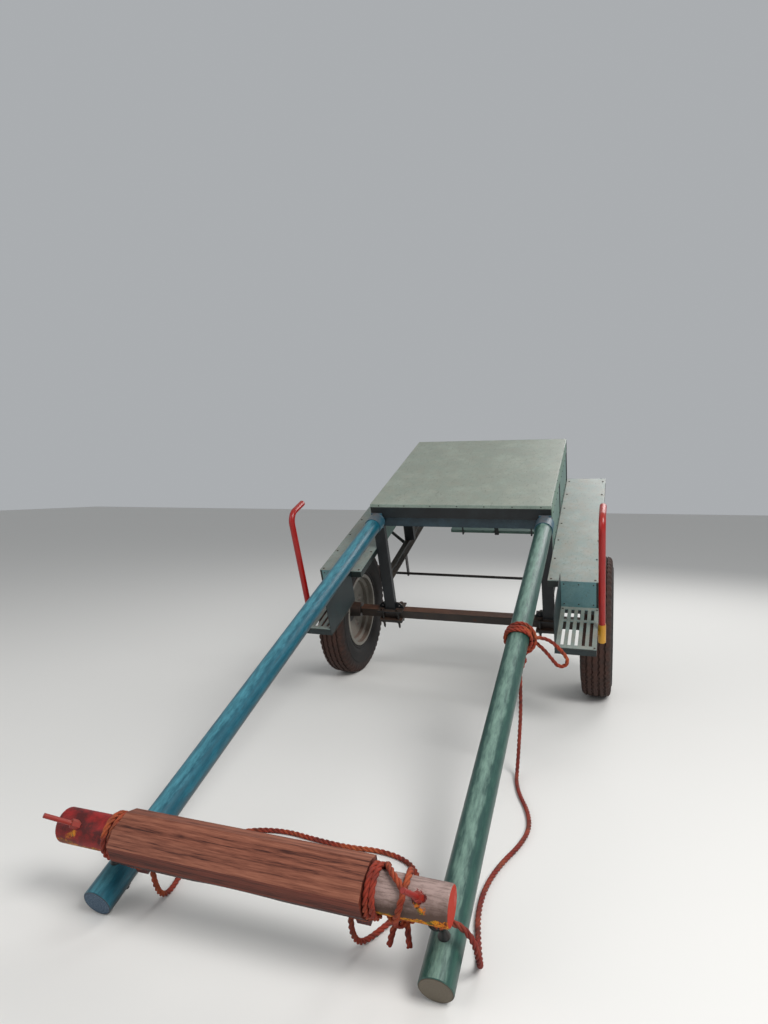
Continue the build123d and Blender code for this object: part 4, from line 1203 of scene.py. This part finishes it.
@dataclass
class Ropes:
    """The free ropes and every lashing, turn and knot on the yoke and the left shaft.

    Sizes are level millimetres: half is the rope's own radius, and rest is how far its axis
    lies off what it is wound on.
    """

    parking: Parking
    fibre: bpy.types.Material
    faded: bpy.types.Material
    rope: LaidRope = field(default_factory=LaidRope)
    half: float = 9.5
    rest: float = 9.8
    turn_pitch: float = 19.4
    yoke_x: float = 2724.0
    yoke_z: float = 1375.0
    yoke_shift: float = -57.0
    yoke_radius: float = 54.0
    saddle_half: float = 410.0
    saddle_below: float = 72.0
    loop_y: float = 448.9
    loop_slant: float = 19.0
    loop_knot_below: float = 38.0
    key_line: float = 378.0
    key_size: tuple[float, float] = (42.0, 57.0)
    post_line: float = 550.0
    stay_radius: float = 9.0
    lash_x: float = 1250.0
    knot_drop: float = 100.0
    loop_gap: float = 2.3
    tail_line: float = 524.0
    shaft_z: float = 1195.0
    shaft_radius: float = 50.0

    def build(self) -> None:
        """Makes the free ropes first, then the lashings and knots."""
        self.free_ropes()
        self.yoke_lashings()
        self.shaft_lashing()

    def routes(self) -> list[FreeRoute]:
        """The free ropes' routes.

        Returns:
            One route each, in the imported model's frame.
        """
        axle = self.parking.axle.x
        lie = (self.half + 0.2) / 1000

        def level(x: float, y: float, z: float) -> Point:
            """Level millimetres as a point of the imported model."""
            return tuple(self.parking.point(x, y, z))

        def ahead(*points: Point) -> tuple[Point, ...]:
            """Points ahead of the axle, in metres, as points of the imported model."""
            return tuple((x + axle, y, z) for x, y, z in points)

        key_y = self.key_line - self.key_size[1] / 2 - self.half
        key_z = self.yoke_z - self.saddle_below - self.half
        stay_y = self.post_line + self.stay_radius + self.half
        stay_z = self.yoke_z - self.yoke_radius - self.rest
        knot_z = self.shaft_z - self.shaft_radius - self.half - self.knot_drop
        beside = self.post_line + self.shaft_radius + self.half + self.loop_gap
        neck = ahead(
            (2.836, -0.393, 0.132), (2.822, -0.392, 0.084), (2.790, -0.398, 0.036),
            (2.736, -0.408, lie), (2.642, -0.434, lie), (2.502, -0.472, lie), (2.380, -0.452, lie),
            (2.290, -0.366, lie), (2.252, -0.232, lie), (2.272, -0.092, lie), (2.282, 0.048, lie),
            (2.262, 0.176, lie), (2.300, 0.296, lie), (2.404, 0.362, lie), (2.520, 0.368, lie),
            (2.642, 0.330, lie), (2.736, 0.296, lie), (2.790, 0.286, 0.036), (2.822, 0.281, 0.084),
            (2.836, 0.282, 0.132),
        )
        lead = ahead(
            (2.842, 0.600, 0.190), (2.830, 0.630, 0.152), (2.808, 0.640, 0.098),
            (2.778, 0.640, 0.046), (2.728, 0.632, lie), (2.646, 0.610, lie), (2.512, 0.580, lie),
            (2.362, 0.574, lie), (2.206, 0.600, lie), (2.058, 0.648, lie), (1.914, 0.668, lie),
            (1.772, 0.640, lie), (1.640, 0.588, lie), (1.524, 0.558, lie), (1.438, 0.548, 0.022),
            (1.398, 0.547, 0.084), (1.386, 0.550, 0.172), (1.380, 0.554, 0.280),
            (1.376, 0.552, 0.392),
        )
        loop = ahead(
            (1.433, 0.642, 0.662), (1.430, 0.690, 0.652), (1.427, 0.732, 0.616),
            (1.424, 0.772, 0.568), (1.421, 0.760, 0.536), (1.418, 0.726, 0.530),
            (1.416, 0.694, 0.568), (1.414, 0.664, 0.600), (1.413, 0.636, 0.624),
        )
        tail = ahead(
            (1.388, 0.509, 0.520), (1.382, 0.502, 0.472), (1.379, 0.497, 0.412),
            (1.378, 0.495, 0.378), (1.377, 0.480, 0.369), (1.377, 0.465, 0.378),
            (1.378, 0.466, 0.412), (1.382, 0.472, 0.468), (1.389, 0.486, 0.522),
            (1.398, 0.504, 0.556),
        )
        # Each end lies in the turns or the knot that hold it.
        right_key = level(self.yoke_x, self.yoke_shift - key_y, key_z)
        left_key = level(self.yoke_x, self.yoke_shift + key_y, key_z)
        stay = level(self.yoke_x, stay_y, stay_z)
        knot = level(self.lash_x, self.post_line, knot_z + 4)
        loop_start = level(self.lash_x - 6, beside, self.shaft_z)
        loop_end = level(self.lash_x - 20, beside, self.shaft_z - 26)
        tail_start = level(self.lash_x, self.tail_line, knot_z + 42)
        tail_end = level(self.lash_x, self.tail_line, knot_z + 70)
        return [
            FreeRoute("Neck_Rope", "neck_rope", (right_key, *neck, left_key), 2.04, "loose"),
            FreeRoute("Lead_Rope", "lead_rope", (stay, *lead, knot), 2.08, "loose"),
            FreeRoute("Hitch_Loop", "hitch_loop", (loop_start, *loop, loop_end), 0.416, "hanging"),
            FreeRoute("Hitch_Tail", "hitch_tail", (tail_start, *tail, tail_end), 0.420, "hanging"),
        ]

    def free_ropes(self) -> None:
        for route in self.routes():
            line = smooth_line(list(route.points), route.name + "_line")
            draft = Draft()
            self.rope.draw(draft, line, closed=False)
            finish = self.faded if route.name == "Lead_Rope" else self.fibre
            piece = draft.piece(route.name, finish, "rope_fibre", "cart", crease_degrees=60.0)
            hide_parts(route.node)

    def ring(
        self, centre: Point, radii: tuple[float, float], slant: float, plane: str
    ) -> list[Vector]:
        """A closed turn of rope in level millimetres.

        Args:
            centre: Middle of the turn.
            radii: Half sizes of the turn.
            slant: How far it leans along its axis, either way.
            plane: The two level axes it lies in, such as "XZ".

        Returns:
            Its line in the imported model's frame.
        """
        line = []
        steps = 72
        for step in range(steps):
            angle = math.tau * step / steps
            first, second = radii[0] * math.cos(angle), radii[1] * math.sin(angle)
            shift = slant * math.sin(angle)
            offset = {
                "XZ": (first, shift, second),
                "YZ": (shift, first, second),
                "XY": (first, second, shift),
            }[plane]
            line.append(self.parking.point(*(c + o for c, o in zip(centre, offset))))
        return line

    def squared_turn(self, centre: Point, half_x: float, half_y: float) -> list[Vector]:
        """A turn of rope round a square key, in level millimetres.

        Args:
            centre: Middle of the turn.
            half_x: Half its size along X.
            half_y: Half its size along Y.

        Returns:
            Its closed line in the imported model's frame.
        """
        line = []
        steps = 64
        for step in range(steps):
            angle = math.tau * step / steps
            c, s = math.cos(angle), math.sin(angle)
            x = half_x * math.copysign(abs(c) ** 0.5, c)
            y = half_y * math.copysign(abs(s) ** 0.5, s)
            line.append(self.parking.point(centre[0] + x, centre[1] + y, centre[2]))
        return line

    def knot(self, centre: Vector, size: Point, turn: float = 0.0) -> list[Vector]:
        """A tight overhand knot, hanging plumb.

        Args:
            centre: Middle of the knot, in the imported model's frame.
            size: Half sizes in metres.
            turn: Turn about the upright, in radians.

        Returns:
            Its closed line.
        """
        spin = Matrix.Rotation(turn, 3, "Z")
        line = []
        steps = 120
        for step in range(steps):
            t = math.tau * step / steps
            reach = (2 + math.cos(3 * t)) / 3
            x, y, z = math.sin(3 * t), reach * math.cos(2 * t), reach * math.sin(2 * t)
            line.append(centre + spin @ Vector((size[0] * x, size[1] * y, size[2] * z)))
        return line

    def lay(self, name: str, turns: list[list[Vector]], runs: list[list[Vector]]) -> None:
        """Makes one piece of several rope lines, in the place of the node of its name.

        Args:
            name: The piece's name.
            turns: Closed lines.
            runs: Open lines.
        """
        draft = Draft()
        for line in turns:
            self.rope.draw(draft, line, closed=True)
        for line in runs:
            self.rope.draw(draft, line, closed=False)
        piece = draft.piece(name, self.fibre, "rope_fibre", "cart", crease_degrees=60.0)
        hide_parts(name.lower())

    def yoke_lashings(self) -> None:
        """Makes the turns at the saddle's shoulders, on the keys and stay, and the left loop."""
        reach = self.yoke_radius + self.rest
        shoulder = self.saddle_half + self.half + 0.4
        turns = []
        for side in (-1, 1):
            for count, slant in enumerate((2.0, -3.0)):
                y = self.yoke_shift + side * (shoulder + self.turn_pitch * count)
                turns.append(self.ring((self.yoke_x, y, self.yoke_z), (reach, reach), slant, "XZ"))
            key_z = self.yoke_z - self.saddle_below - self.rest
            centre = (self.yoke_x, self.yoke_shift + side * self.key_line, key_z)
            half_x, half_y = (size / 2 + self.rest for size in self.key_size)
            turns.append(self.squared_turn(centre, half_x, half_y))
        stay_z = self.yoke_z - self.yoke_radius - self.rest
        hitch = self.stay_radius + self.rest
        turns.append(self.ring((self.yoke_x, self.post_line, stay_z), (hitch, hitch), 1.0, "XY"))
        loop_centre = (self.yoke_x, self.loop_y, self.yoke_z)
        turns.append(self.ring(loop_centre, (reach, reach), self.loop_slant, "XZ"))
        under_z = self.yoke_z - self.yoke_radius - self.loop_knot_below
        under = self.parking.point(self.yoke_x, self.loop_y - self.loop_slant, under_z)
        turns.append(self.knot(under, (0.014, 0.036, 0.019)))
        runs = []
        for shift, drop, drift in ((-0.012, 0.078, -0.020), (0.020, 0.070, 0.006)):
            top = under + Vector((0.0, shift, -0.008))
            way = ((0.0, 0.0, 0.0), (0.004, 0.4, 0.4), (0.002, 0.8, 0.75), (0.0, 1.0, 1.0))
            tail = [tuple(top + Vector((x, drift * y, -drop * z))) for x, y, z in way]
            runs.append(smooth_line(tail, "Tail_line"))
        # The standing part leaves the outer shoulder turn behind the yoke, comes up over its
        # top and dives under the loop.
        start = self.yoke_shift + shoulder + self.turn_pitch
        along = [
            (-52, start, -37), (-70, start + 2, 0), (-58, start + 8, reach - 29),
            (-36, start + 22, reach - 5), (-8, start + 44, reach + 4),
            (18, self.loop_y + 8, reach + 4), (34, self.loop_y + 17, reach - 10),
        ]
        standing = [self.parking.point(self.yoke_x + x, y, self.yoke_z + z) for x, y, z in along]
        runs.append(smooth_line([tuple(p) for p in standing], "Standing_line"))
        self.lay("Yoke_Lashings", turns, runs)

    def shaft_lashing(self) -> None:
        """Makes the slanting turns round the left shaft and the knot that hangs from them."""
        reach = self.shaft_radius + self.rest
        turns = []
        for shift, slant in ((-14.0, 17.0), (6.0, 20.0), (17.0, -12.0)):
            centre = (self.lash_x + shift, self.post_line, self.shaft_z)
            turns.append(self.ring(centre, (reach, reach), slant, "YZ"))
        # A last turn rides over the others on the outer side.
        over = (self.lash_x + 4, self.post_line + 8.5, self.shaft_z - 2)
        turns.append(self.ring(over, (reach + 8.5, reach + 7.0), -24.0, "YZ"))
        below = self.shaft_z - self.shaft_radius - self.half
        upper = self.parking.point(self.lash_x, self.post_line, below - 26)
        lower = self.parking.point(self.lash_x, self.post_line, below - 70)
        turns.append(self.knot(upper, (0.017, 0.034, 0.030), 0.5))
        turns.append(self.knot(lower, (0.019, 0.030, 0.034), 2.0))
        self.lay("Shaft_Lashing", turns, [])


@dataclass
class RibbedTyre:
    """A cart tyre with ribs, zigzag grooves and notched shoulders."""

    side: str
    centre: Vector
    rubber: bpy.types.Material
    radius: float = 0.450
    width: float = 0.185
    bead_radius: float = 0.2413
    bead_half: float = 0.0657
    grooves: tuple[float, float] = (0.052, 0.0185)
    groove_depth: float = 0.008
    groove_half: float = 0.0042
    zigzag: float = 0.0028
    notch_depth: float = 0.0055
    notch_inset: float = 0.0026
    crown_drop: float = 0.0060
    pitches: int = 60
    steps_per_pitch: int = 6

    def profile(self) -> list[tuple[float, float, float, float]]:
        """Outer profile from one bead to the other.

        Returns:
            Radius, offset along the axle, zigzag share and notch share of each point.
        """
        half, bead, bead_half = self.width / 2, self.bead_radius, self.bead_half
        plain = [
            (bead, bead_half - 0.012), (bead, bead_half), (bead + 0.020, bead_half),
            (bead + 0.030, bead_half + 0.0085), (bead + 0.036, bead_half + 0.0085),
            (bead + 0.040, bead_half + 0.0065), (0.296, half - 0.0085), (0.318, half - 0.0028),
            (0.345, half), (0.368, half - 0.0006), (0.371, half), (0.376, half),
            (0.379, half - 0.0030), (0.394, half - 0.0045),
        ]
        notched = [
            (0.404, half - 0.0052, 0.25), (0.416, half - 0.0060, 1.0), (0.430, half - 0.0100, 1.0),
            (self.radius - 0.0092, half * 0.80, 1.0), (self.radius - 0.0062, half * 0.70, 0.6),
        ]
        left = [(r, y, 0.0, 0.0) for r, y in plain] + [(r, y, 0.0, n) for r, y, n in notched]
        for place in self.grooves:
            top = self.radius - self.crown_drop * (place / (half * 0.7)) ** 2
            left += [
                (top, place + self.groove_half * 1.5, 1.0, 0.0),
                (top - self.groove_depth, place + self.groove_half, 1.0, 0.0),
                (top - self.groove_depth, place - self.groove_half, 1.0, 0.0),
                (top + 0.0002, place - self.groove_half * 1.5, 1.0, 0.0),
            ]
        left.append((self.radius, 0.006, 0.0, 0.0))
        return left + [(r, -y, zig, notch) for r, y, zig, notch in reversed(left)]

    def build(self) -> None:
        """Makes the tyre and puts it in the smooth one's place."""
        profile = self.profile()
        around, count = self.pitches * self.steps_per_pitch, len(profile)
        draft, radii = Draft(), []
        for step in range(around):
            angle = math.tau * step / around
            phase = (step % self.steps_per_pitch) / self.steps_per_pitch
            wave = 1.0 - 4.0 * abs(phase - 0.5)
            cut = 1.0 if phase >= 0.5 else 0.0
            for r, y, zig, notch in profile:
                reach = r - self.notch_depth * notch * cut
                inward = math.copysign(self.notch_inset, y) * notch * cut
                y += self.zigzag * zig * wave - inward
                spoke = Vector((reach * math.cos(angle), y, reach * math.sin(angle)))
                draft.vertices.append(self.centre + spoke)
                radii.append(reach)
            here, on = step * count, (step + 1) % around * count
            draft.faces += [(here + i, on + i, on + i + 1, here + i + 1) for i in range(count - 1)]
        name = f"Ribbed_Tyre_{self.side.capitalize()}"
        body = f"wheel_{self.side}"
        piece = draft.piece(name, self.rubber, "tyre_rubber", body, crease_degrees=32.0)
        attribute = piece.data.attributes.new("wheel_radius", "FLOAT", "POINT")
        attribute.data.foreach_set("value", radii)
        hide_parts(f"tyre_{self.side}")


class Head(Enum):
    """Kinds of fastener head: each ring's reach and lift in radii, and its corners."""

    HEX = ((1.9, 0.0, 12), (1.9, 0.22, 12), (1.28, 0.22, 6), (1.28, 0.95, 6), (1.16, 1.08, 6))
    DOME = ((1.0, -0.02, 12), (0.97, 0.16, 12), (0.82, 0.38, 12), (0.5, 0.55, 12), (0.2, 0.61, 12))


@dataclass(frozen=True)
class FastenerRow:
    """Like fasteners in a straight row, in level millimetres."""

    first: Point
    last: Point
    count: int
    out: Point
    radius: float
    head: Head = Head.DOME
    mirrored: bool = True


@dataclass
class Fasteners:
    """Screws, rivets and bolts on the frame.

    Sizes are level millimetres; those of screw, rivet and bolt heads are their radii.
    """

    parking: Parking
    steel: bpy.types.Material
    deck_screw: float = 7.0
    slat_screw: float = 6.0
    rivet: float = 4.5
    plank_bolt: float = 8.0
    block_bolt: float = 7.0
    edge_inset: float = 20.0
    end_inset: float = 60.0
    frame_half: float = 587.5
    front: float = 37.5
    rear: float = -1215.0
    middle_post: float = -560.0
    post_depth: float = 40.0
    board_front: float = 360.0
    board_outer: float = 875.5
    board_top: float = 982.0
    kick_face: float = 583.5
    kick_insets: tuple[float, float] = (24.0, 22.0)
    kick_lines: tuple[float, float] = (1196.0, 1002.0)
    lip_z: float = 1302.0
    slats: tuple[float, float] = (384.0, 756.0)
    slat_ends: tuple[float, float] = (673.0, 866.0)
    slat_top: float = 809.0
    riser_face: float = 363.0
    riser_ends: tuple[float, float] = (680.0, 846.0)
    plank_rows: tuple[float, float] = (-1300.0, -1450.0)
    plank_half: float = 290.0
    plank_top: float = 500.0
    block_bolts: tuple[Point, Point] = ((-485.0, 699.0, 466.0), (-485.0, 699.0, 508.0))
    points: int = 12

    def rows(self) -> list[FastenerRow]:
        """Every row of fasteners on the left side and the middle.

        Returns:
            The rows; a mirrored one also stands on the right side.
        """
        up, aside, ahead, back = (0, 0, 1), (0, 1, 0), (1, 0, 0), (-1, 0, 0)
        rows = []

        def add(first: Point, last: Point, count: int, out: Point, radius: float) -> None:
            """Adds a row that stands on both sides."""
            rows.append(FastenerRow(first, last, count, out, radius))

        top, side, lip, face = self.board_top, self.frame_half, self.lip_z, self.kick_face
        rear, board_end = self.rear + self.end_inset, self.board_front - self.edge_inset
        for y in (self.board_outer - self.edge_inset, side + self.edge_inset):
            add((rear, y, top), (board_end, y, top), 7, up, self.deck_screw)
        # The kick panels fill the two bays between the posts.
        bays = (
            (self.middle_post, self.front - self.post_depth),
            (self.rear + self.post_depth, self.middle_post - self.post_depth),
        )
        for (start, stop), inset in zip(bays, self.kick_insets):
            for z in self.kick_lines:
                first, last = (start + inset, face, z), (stop - inset, face, z)
                add(first, last, 6, aside, self.rivet)
        add((rear, side, lip), (self.front - self.end_inset, side, lip), 7, aside, self.rivet)
        for x, out in ((self.front, ahead), (self.rear, back)):
            first, last = (x, self.end_inset - side, lip), (x, side - self.end_inset, lip)
            rows.append(FastenerRow(first, last, 7, out, self.rivet, mirrored=False))
        for x in self.slats:
            first, last = ((x, y, self.slat_top) for y in self.slat_ends)
            add(first, last, 2, up, self.slat_screw)
        for z in (top - self.edge_inset, self.slat_top + self.edge_inset):
            first, last = ((self.riser_face, y, z) for y in self.riser_ends)
            add(first, last, 3, ahead, self.rivet)
        for x in self.plank_rows:
            first, last = ((x, y, self.plank_top) for y in (-self.plank_half, self.plank_half))
            rows.append(FastenerRow(first, last, 3, up, self.plank_bolt, mirrored=False))
        rows.append(FastenerRow(*self.block_bolts, 2, (0, -1, 0), self.block_bolt, Head.HEX))
        return rows

    def build(self) -> None:
        """Makes every head as one piece."""
        draft = Draft()
        for row in self.rows():
            for mirror in (1, -1) if row.mirrored else (1,):
                for step in range(row.count):
                    share = step / (row.count - 1)
                    x, y, z = (a + (b - a) * share for a, b in zip(row.first, row.last))
                    origin = self.parking.point(x, y * mirror, z)
                    axis = self.parking.turn(row.out[0], row.out[1] * mirror, row.out[2])
                    self.add_head(draft, origin, axis, row)
        draft.piece("Frame_Fasteners", self.steel, "clamp_steel", "cart", crease_degrees=35.0)

    def add_head(self, draft: Draft, origin: Vector, axis: Vector, row: FastenerRow) -> None:
        """Adds one head.

        Args:
            draft: What gets its vertices and faces.
            origin: Where it sits.
            axis: Unit vector the way it points.
            row: Its kind and radius.
        """
        side = axis.orthogonal().normalized()
        radius = row.radius / 1000
        # A hexagon on twelve points has flats between its corners.
        flat = math.cos(math.pi / 6)
        rings = []
        for reach, lift, corners in row.head.value:
            shares = [flat if corners == 6 and k % 2 else 1.0 for k in range(self.points)]
            radii = [reach * share * radius for share in shares]
            rings.append(circle(origin + axis * (lift * radius), side, axis.cross(side), radii))
        draft.skin(rings, foot=False)


@dataclass
class WeldBeads:
    """Hand-laid weld beads where the frame's sections meet.

    Sizes are level millimetres, but for the bead's own radius and step in metres.
    """

    parking: Parking
    steel: bpy.types.Material
    radius: float = 0.0032
    ripple_step: float = 0.0016
    sides: int = 8
    post_line: float = 550.0
    post_half: float = 37.5
    foot_half: float = 87.5
    foot_middle: float = 8.0
    foot_top: float = 490.0
    apron_back: float = -4.0
    beam_bottom: float = 1216.0
    rail_bottom: float = 740.0
    rear_face: float = -1215.0
    rear_post: tuple[float, float] = (-1211.0, -1179.0)
    middle_post: tuple[float, float] = (-596.0, -564.0)
    step_back: float = 363.0
    step_front: float = 770.0
    step_inner: float = 659.0
    step_bottom: float = 766.0
    nosing: tuple[float, float] = (663.0, 876.0)
    nosing_top: float = 804.0

    def lines(self) -> list[tuple[Point, Point]]:
        """Straight beads of the left side, in level millimetres.

        Returns:
            First and last point of each bead.
        """
        low, high = self.post_line - self.post_half, self.post_line + self.post_half
        inner, outer = self.post_line - self.foot_half, self.post_line + self.foot_half
        front, back, rear = self.post_half, self.apron_back, self.rear_face
        foot, beam, rail = self.foot_top, self.beam_bottom, self.rail_bottom
        beads = [
            # x from and to, y from and to, z
            (front, front, low, high, foot),
            (self.foot_middle, self.foot_middle, inner, low, foot),
            (self.foot_middle, self.foot_middle, high, outer, foot),
            (front, front, low, low + 6, beam),
            (back, front, high, high, beam),
            (back, front, low, low, beam),
            (rear, rear, low, high, rail),
            (*self.rear_post, high, high, rail),
            (*self.middle_post, high, high, rail),
            (self.step_back, self.step_front, self.step_inner, self.step_inner, self.step_bottom),
            (self.step_front, self.step_front, *self.nosing, self.nosing_top),
        ]
        return [((x0, y0, z), (x1, y1, z)) for x0, x1, y0, y1, z in beads]

    def build(self) -> None:
        """Makes every bead as one piece of overlapping ripples."""
        draft = Draft()
        for line in self.lines():
            for mirror in (1, -1):
                first, last = (self.parking.point(x, y * mirror, z) for x, y, z in line)
                self.add_bead(draft, first, last)
        draft.piece("Weld_Beads", self.steel, "clamp_steel", "cart", crease_degrees=70.0)

    def add_bead(self, draft: Draft, first: Vector, last: Vector) -> None:
        """Adds one bead: a tube that tapers at its ends and ripples every five millimetres.

        Args:
            draft: What gets its vertices and faces.
            first: Start of the bead.
            last: End of the bead.
        """
        length = (last - first).length
        along = (last - first).normalized()
        side = along.orthogonal().normalized()
        steps = max(4, round(length / self.ripple_step))
        rings = []
        for i in range(steps + 1):
            share = i / steps
            taper = min(1.0, 6 * share + 0.3, 6 * (1 - share) + 0.3)
            ripple = 1.0 + (0.16 if i % 3 == 0 else -0.05) + 0.07 * math.sin(i * 1.7)
            radii = [self.radius * taper * ripple] * self.sides
            rings.append(circle(first + along * (length * share), side, along.cross(side), radii))
        draft.skin(rings)


@dataclass
class CartBody:
    """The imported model's rigid nodes and their finishes."""

    parking: Parking
    yoke_centre: Point = (2724.0, -57.0, 1375.0)
    saddle_half: float = 410.0
    yoke_half: float = 642.0

    def finishes(self) -> dict[str, Finish]:
        """Chooses a finish for each of the record's slots that a rigid node uses.

        Returns:
            Slot or node name to finish.
        """
        park = self.parking
        return {
            "rim_paint": BrushedEnamel(
                "Rim_Enamel_Stove_Baked", "#6E6A62", "#8E897E", dust="#6B4636",
                chip_amount=0.6, dust_amount=0.6,
            ),
            "hub_steel": BrushedEnamel("Hub_Steel_Greased", "#1E1B19", "#3A302A", dust="#5F3E30"),
            "post_paint": BrushedEnamel(
                "Post_Enamel_Blue_Black", "#0D1216", "#20292E", dust="#6E5A4C", chip_amount=0.35,
            ),
            "frame_paint": BrushedEnamel(
                "Frame_Enamel_Dark_Teal", "#0D1817", "#24332F", dust="#6E5A4C",
            ),
            "beam_paint": BrushedEnamel("Bench_Beam_Enamel", "#070C0F", "#1C262A", dust="#5E574C"),
            "side_beam": BrushedEnamel(
                "Side_Beam_Enamel_Green", "#587565", "#7D9788", "#3A3F38", "#7E7464",
            ),
            "deck_paint": BrushedEnamel(
                "Footboard_Enamel_Grey_Teal", "#668583", "#8FA7A4", "#3F4340", "#8E7460",
                chip_amount=0.55, dust_amount=0.55, scuff_amount=0.6,
            ),
            "step_paint": BrushedEnamel(
                "Step_Enamel_Teal", "#0B1B1E", "#1C3133", "#2B2A27", "#5E4C40",
                chip_amount=0.5, dust_amount=0.3,
            ),
            "panel_paint": BrushedEnamel(
                "Riser_Enamel_Pale_Teal", "#5B8387", "#7FA2A2", "#474B46", "#8A705C",
                chip_amount=0.55, scuff_amount=0.5,
            ),
            "kick_panels": BrushedEnamel(
                "Side_Panel_Enamel_Green", "#4E6E66", "#6F8C82", "#363A35", "#7E6A58",
                chip_amount=0.5, scuff_amount=0.3,
            ),
            "front_apron": BrushedEnamel(
                "Apron_Enamel_Blue_Grey", "#1C2E37", "#364E58", "#2A2A28", "#6E675C",
                chip_amount=0.4,
            ),
            "rail_paint": BrushedEnamel(
                "Rail_Enamel_Red", "#8F0A07", "#A32019", "#3E100C",
                chip_amount=0.2, dust_amount=0.2, roughness=0.3,
            ),
            "socket_paint": BrushedEnamel(
                "Socket_Enamel_Yellow", "#B8800F", "#C99A35", "#5E3616",
                chip_amount=0.55, roughness=0.4,
            ),
            "socket_teal": BrushedEnamel(
                "Socket_Enamel_Teal", "#17485A", "#2F6878", "#1F3238", chip_amount=0.4,
            ),
            "clamp_steel": BrushedEnamel(
                "Clamp_Steel_Forged", "#1C1A19", "#38322D", "#55382A", "#5F4638",
                chip_amount=0.65, dust_amount=0.6,
            ),
            "axle_paint": BrushedEnamel(
                "Axle_Steel_Dusty", "#231C18", "#3A2E27", "#4B2D1D", "#6E4938",
                chip_amount=0.7, dust_amount=0.75,
            ),
            "seat_paint": BrushedEnamel(
                "Bench_Sheet_Grey_Green_Enamel", "#7A897F", "#97A398", "#4C4E48", "#8E8070",
                chip_amount=0.4, dust_amount=0.4, scuff_amount=0.55,
            ),
            "pin_paint": BrushedEnamel(
                "Pin_Steel_Red_Enamel", "#861208", "#9A3119", "#2E0F0C",
                chip_amount=0.6, dust_amount=0.2,
            ),
            "stay_iron": BrushedEnamel(
                "Stay_Iron_Forged_Black", "#0D0E10", "#222428", "#2E2B28",
                chip_amount=0.5, dust_amount=0.25, roughness=0.4,
            ),
            "block_wood": PlainTimber(
                "Brake_Block_Hardwood_Sawn", "#5A4130", "#33231A", park, Grain.ACROSS,
            ),
            "plank_wood": PlainTimber(
                "Rear_Step_Plank_Painted", "#567469", "#384F49", park, Grain.ACROSS, roughness=0.6,
            ),
            "key_wood": PlainTimber(
                "Yoke_Key_Hardwood_Oiled", "#5C1A13", "#2A0907", park, Grain.UPRIGHT,
                roughness=0.55,
            ),
            "yoke_wood": YokeTimber(
                "Yoke_Timber_Painted", park, self.yoke_centre, self.saddle_half, self.yoke_half,
            ),
            "shaft_left": PaintedPole(
                "Left_Shaft_Enamelled_Pole", "#1C3E38", "#365C4F", "#7E9A8C", "#1A1511",
                "#6F675A", "#3E372E", park,
            ),
            "shaft_right": PaintedPole(
                "Right_Shaft_Enamelled_Pole", "#0C4A5A", "#1E6E80", "#4E8F9C", "#070F13",
                "#3A4E61", "#7A8D9D", park, centre_mm=(-550.0, 1195.0), end_contrast=0.7,
            ),
        }

    def build(self, frame: dict) -> dict[str, bpy.types.Material]:
        """Gives every rigid node its finish.


        Returns:
            The materials by slot, for the added pieces.
        """
        finishes = {slot: finish.build() for slot, finish in self.finishes().items()}
        for part in frame["record"]["subparts"]:
            node, slot = part["node"], part["material_slot"]
            names = (node, node.rsplit("_", 1)[0], slot)
            key = next((name for name in names if name in finishes), None)
            if key is None:
                continue
            mesh = frame["nodes"][node].data
            mesh.materials.clear()
            mesh.materials.append(finishes[key])
            log.info("%s wears %s", node, finishes[key].name)
        return finishes


def main() -> None:
    """Builds the studio, the ropes and every dressed piece."""
    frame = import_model()
    bpy.context.scene.view_settings.view_transform = "Standard"
    axle = Vector(next(j["pos_m"] for j in frame["joints"] if j["name"] == "wheel_left_spin"))
    parking = Parking(lean_degrees=22.6275, axle=Vector((axle.x, 0.0, axle.z)))
    Studio(parking.axle).build()
    log.info("studio ready")
    rope = DyedRope("Rope_Laid_Dyed_Orange_Red", "#862407", "#AE5A26", "#3A1009").build()
    lead = DyedRope("Rope_Laid_Dyed_Dark_Red", "#761A09", "#97492C", "#330E09").build()
    Ropes(parking, rope, lead).build()
    finishes = CartBody(parking).build(frame)
    rubber = MouldedRubber("Tyre_Rubber_Moulded").build()
    for side, sign in (("left", 1), ("right", -1)):
        RibbedTyre(side, Vector((axle.x, abs(axle.y) * sign, axle.z)), rubber).build()
    Fasteners(parking, finishes["clamp_steel"]).build()
    WeldBeads(parking, finishes["frame_paint"]).build()


if __name__ == "__main__":
    logging.basicConfig(level=logging.INFO, format="%(message)s")
    main()
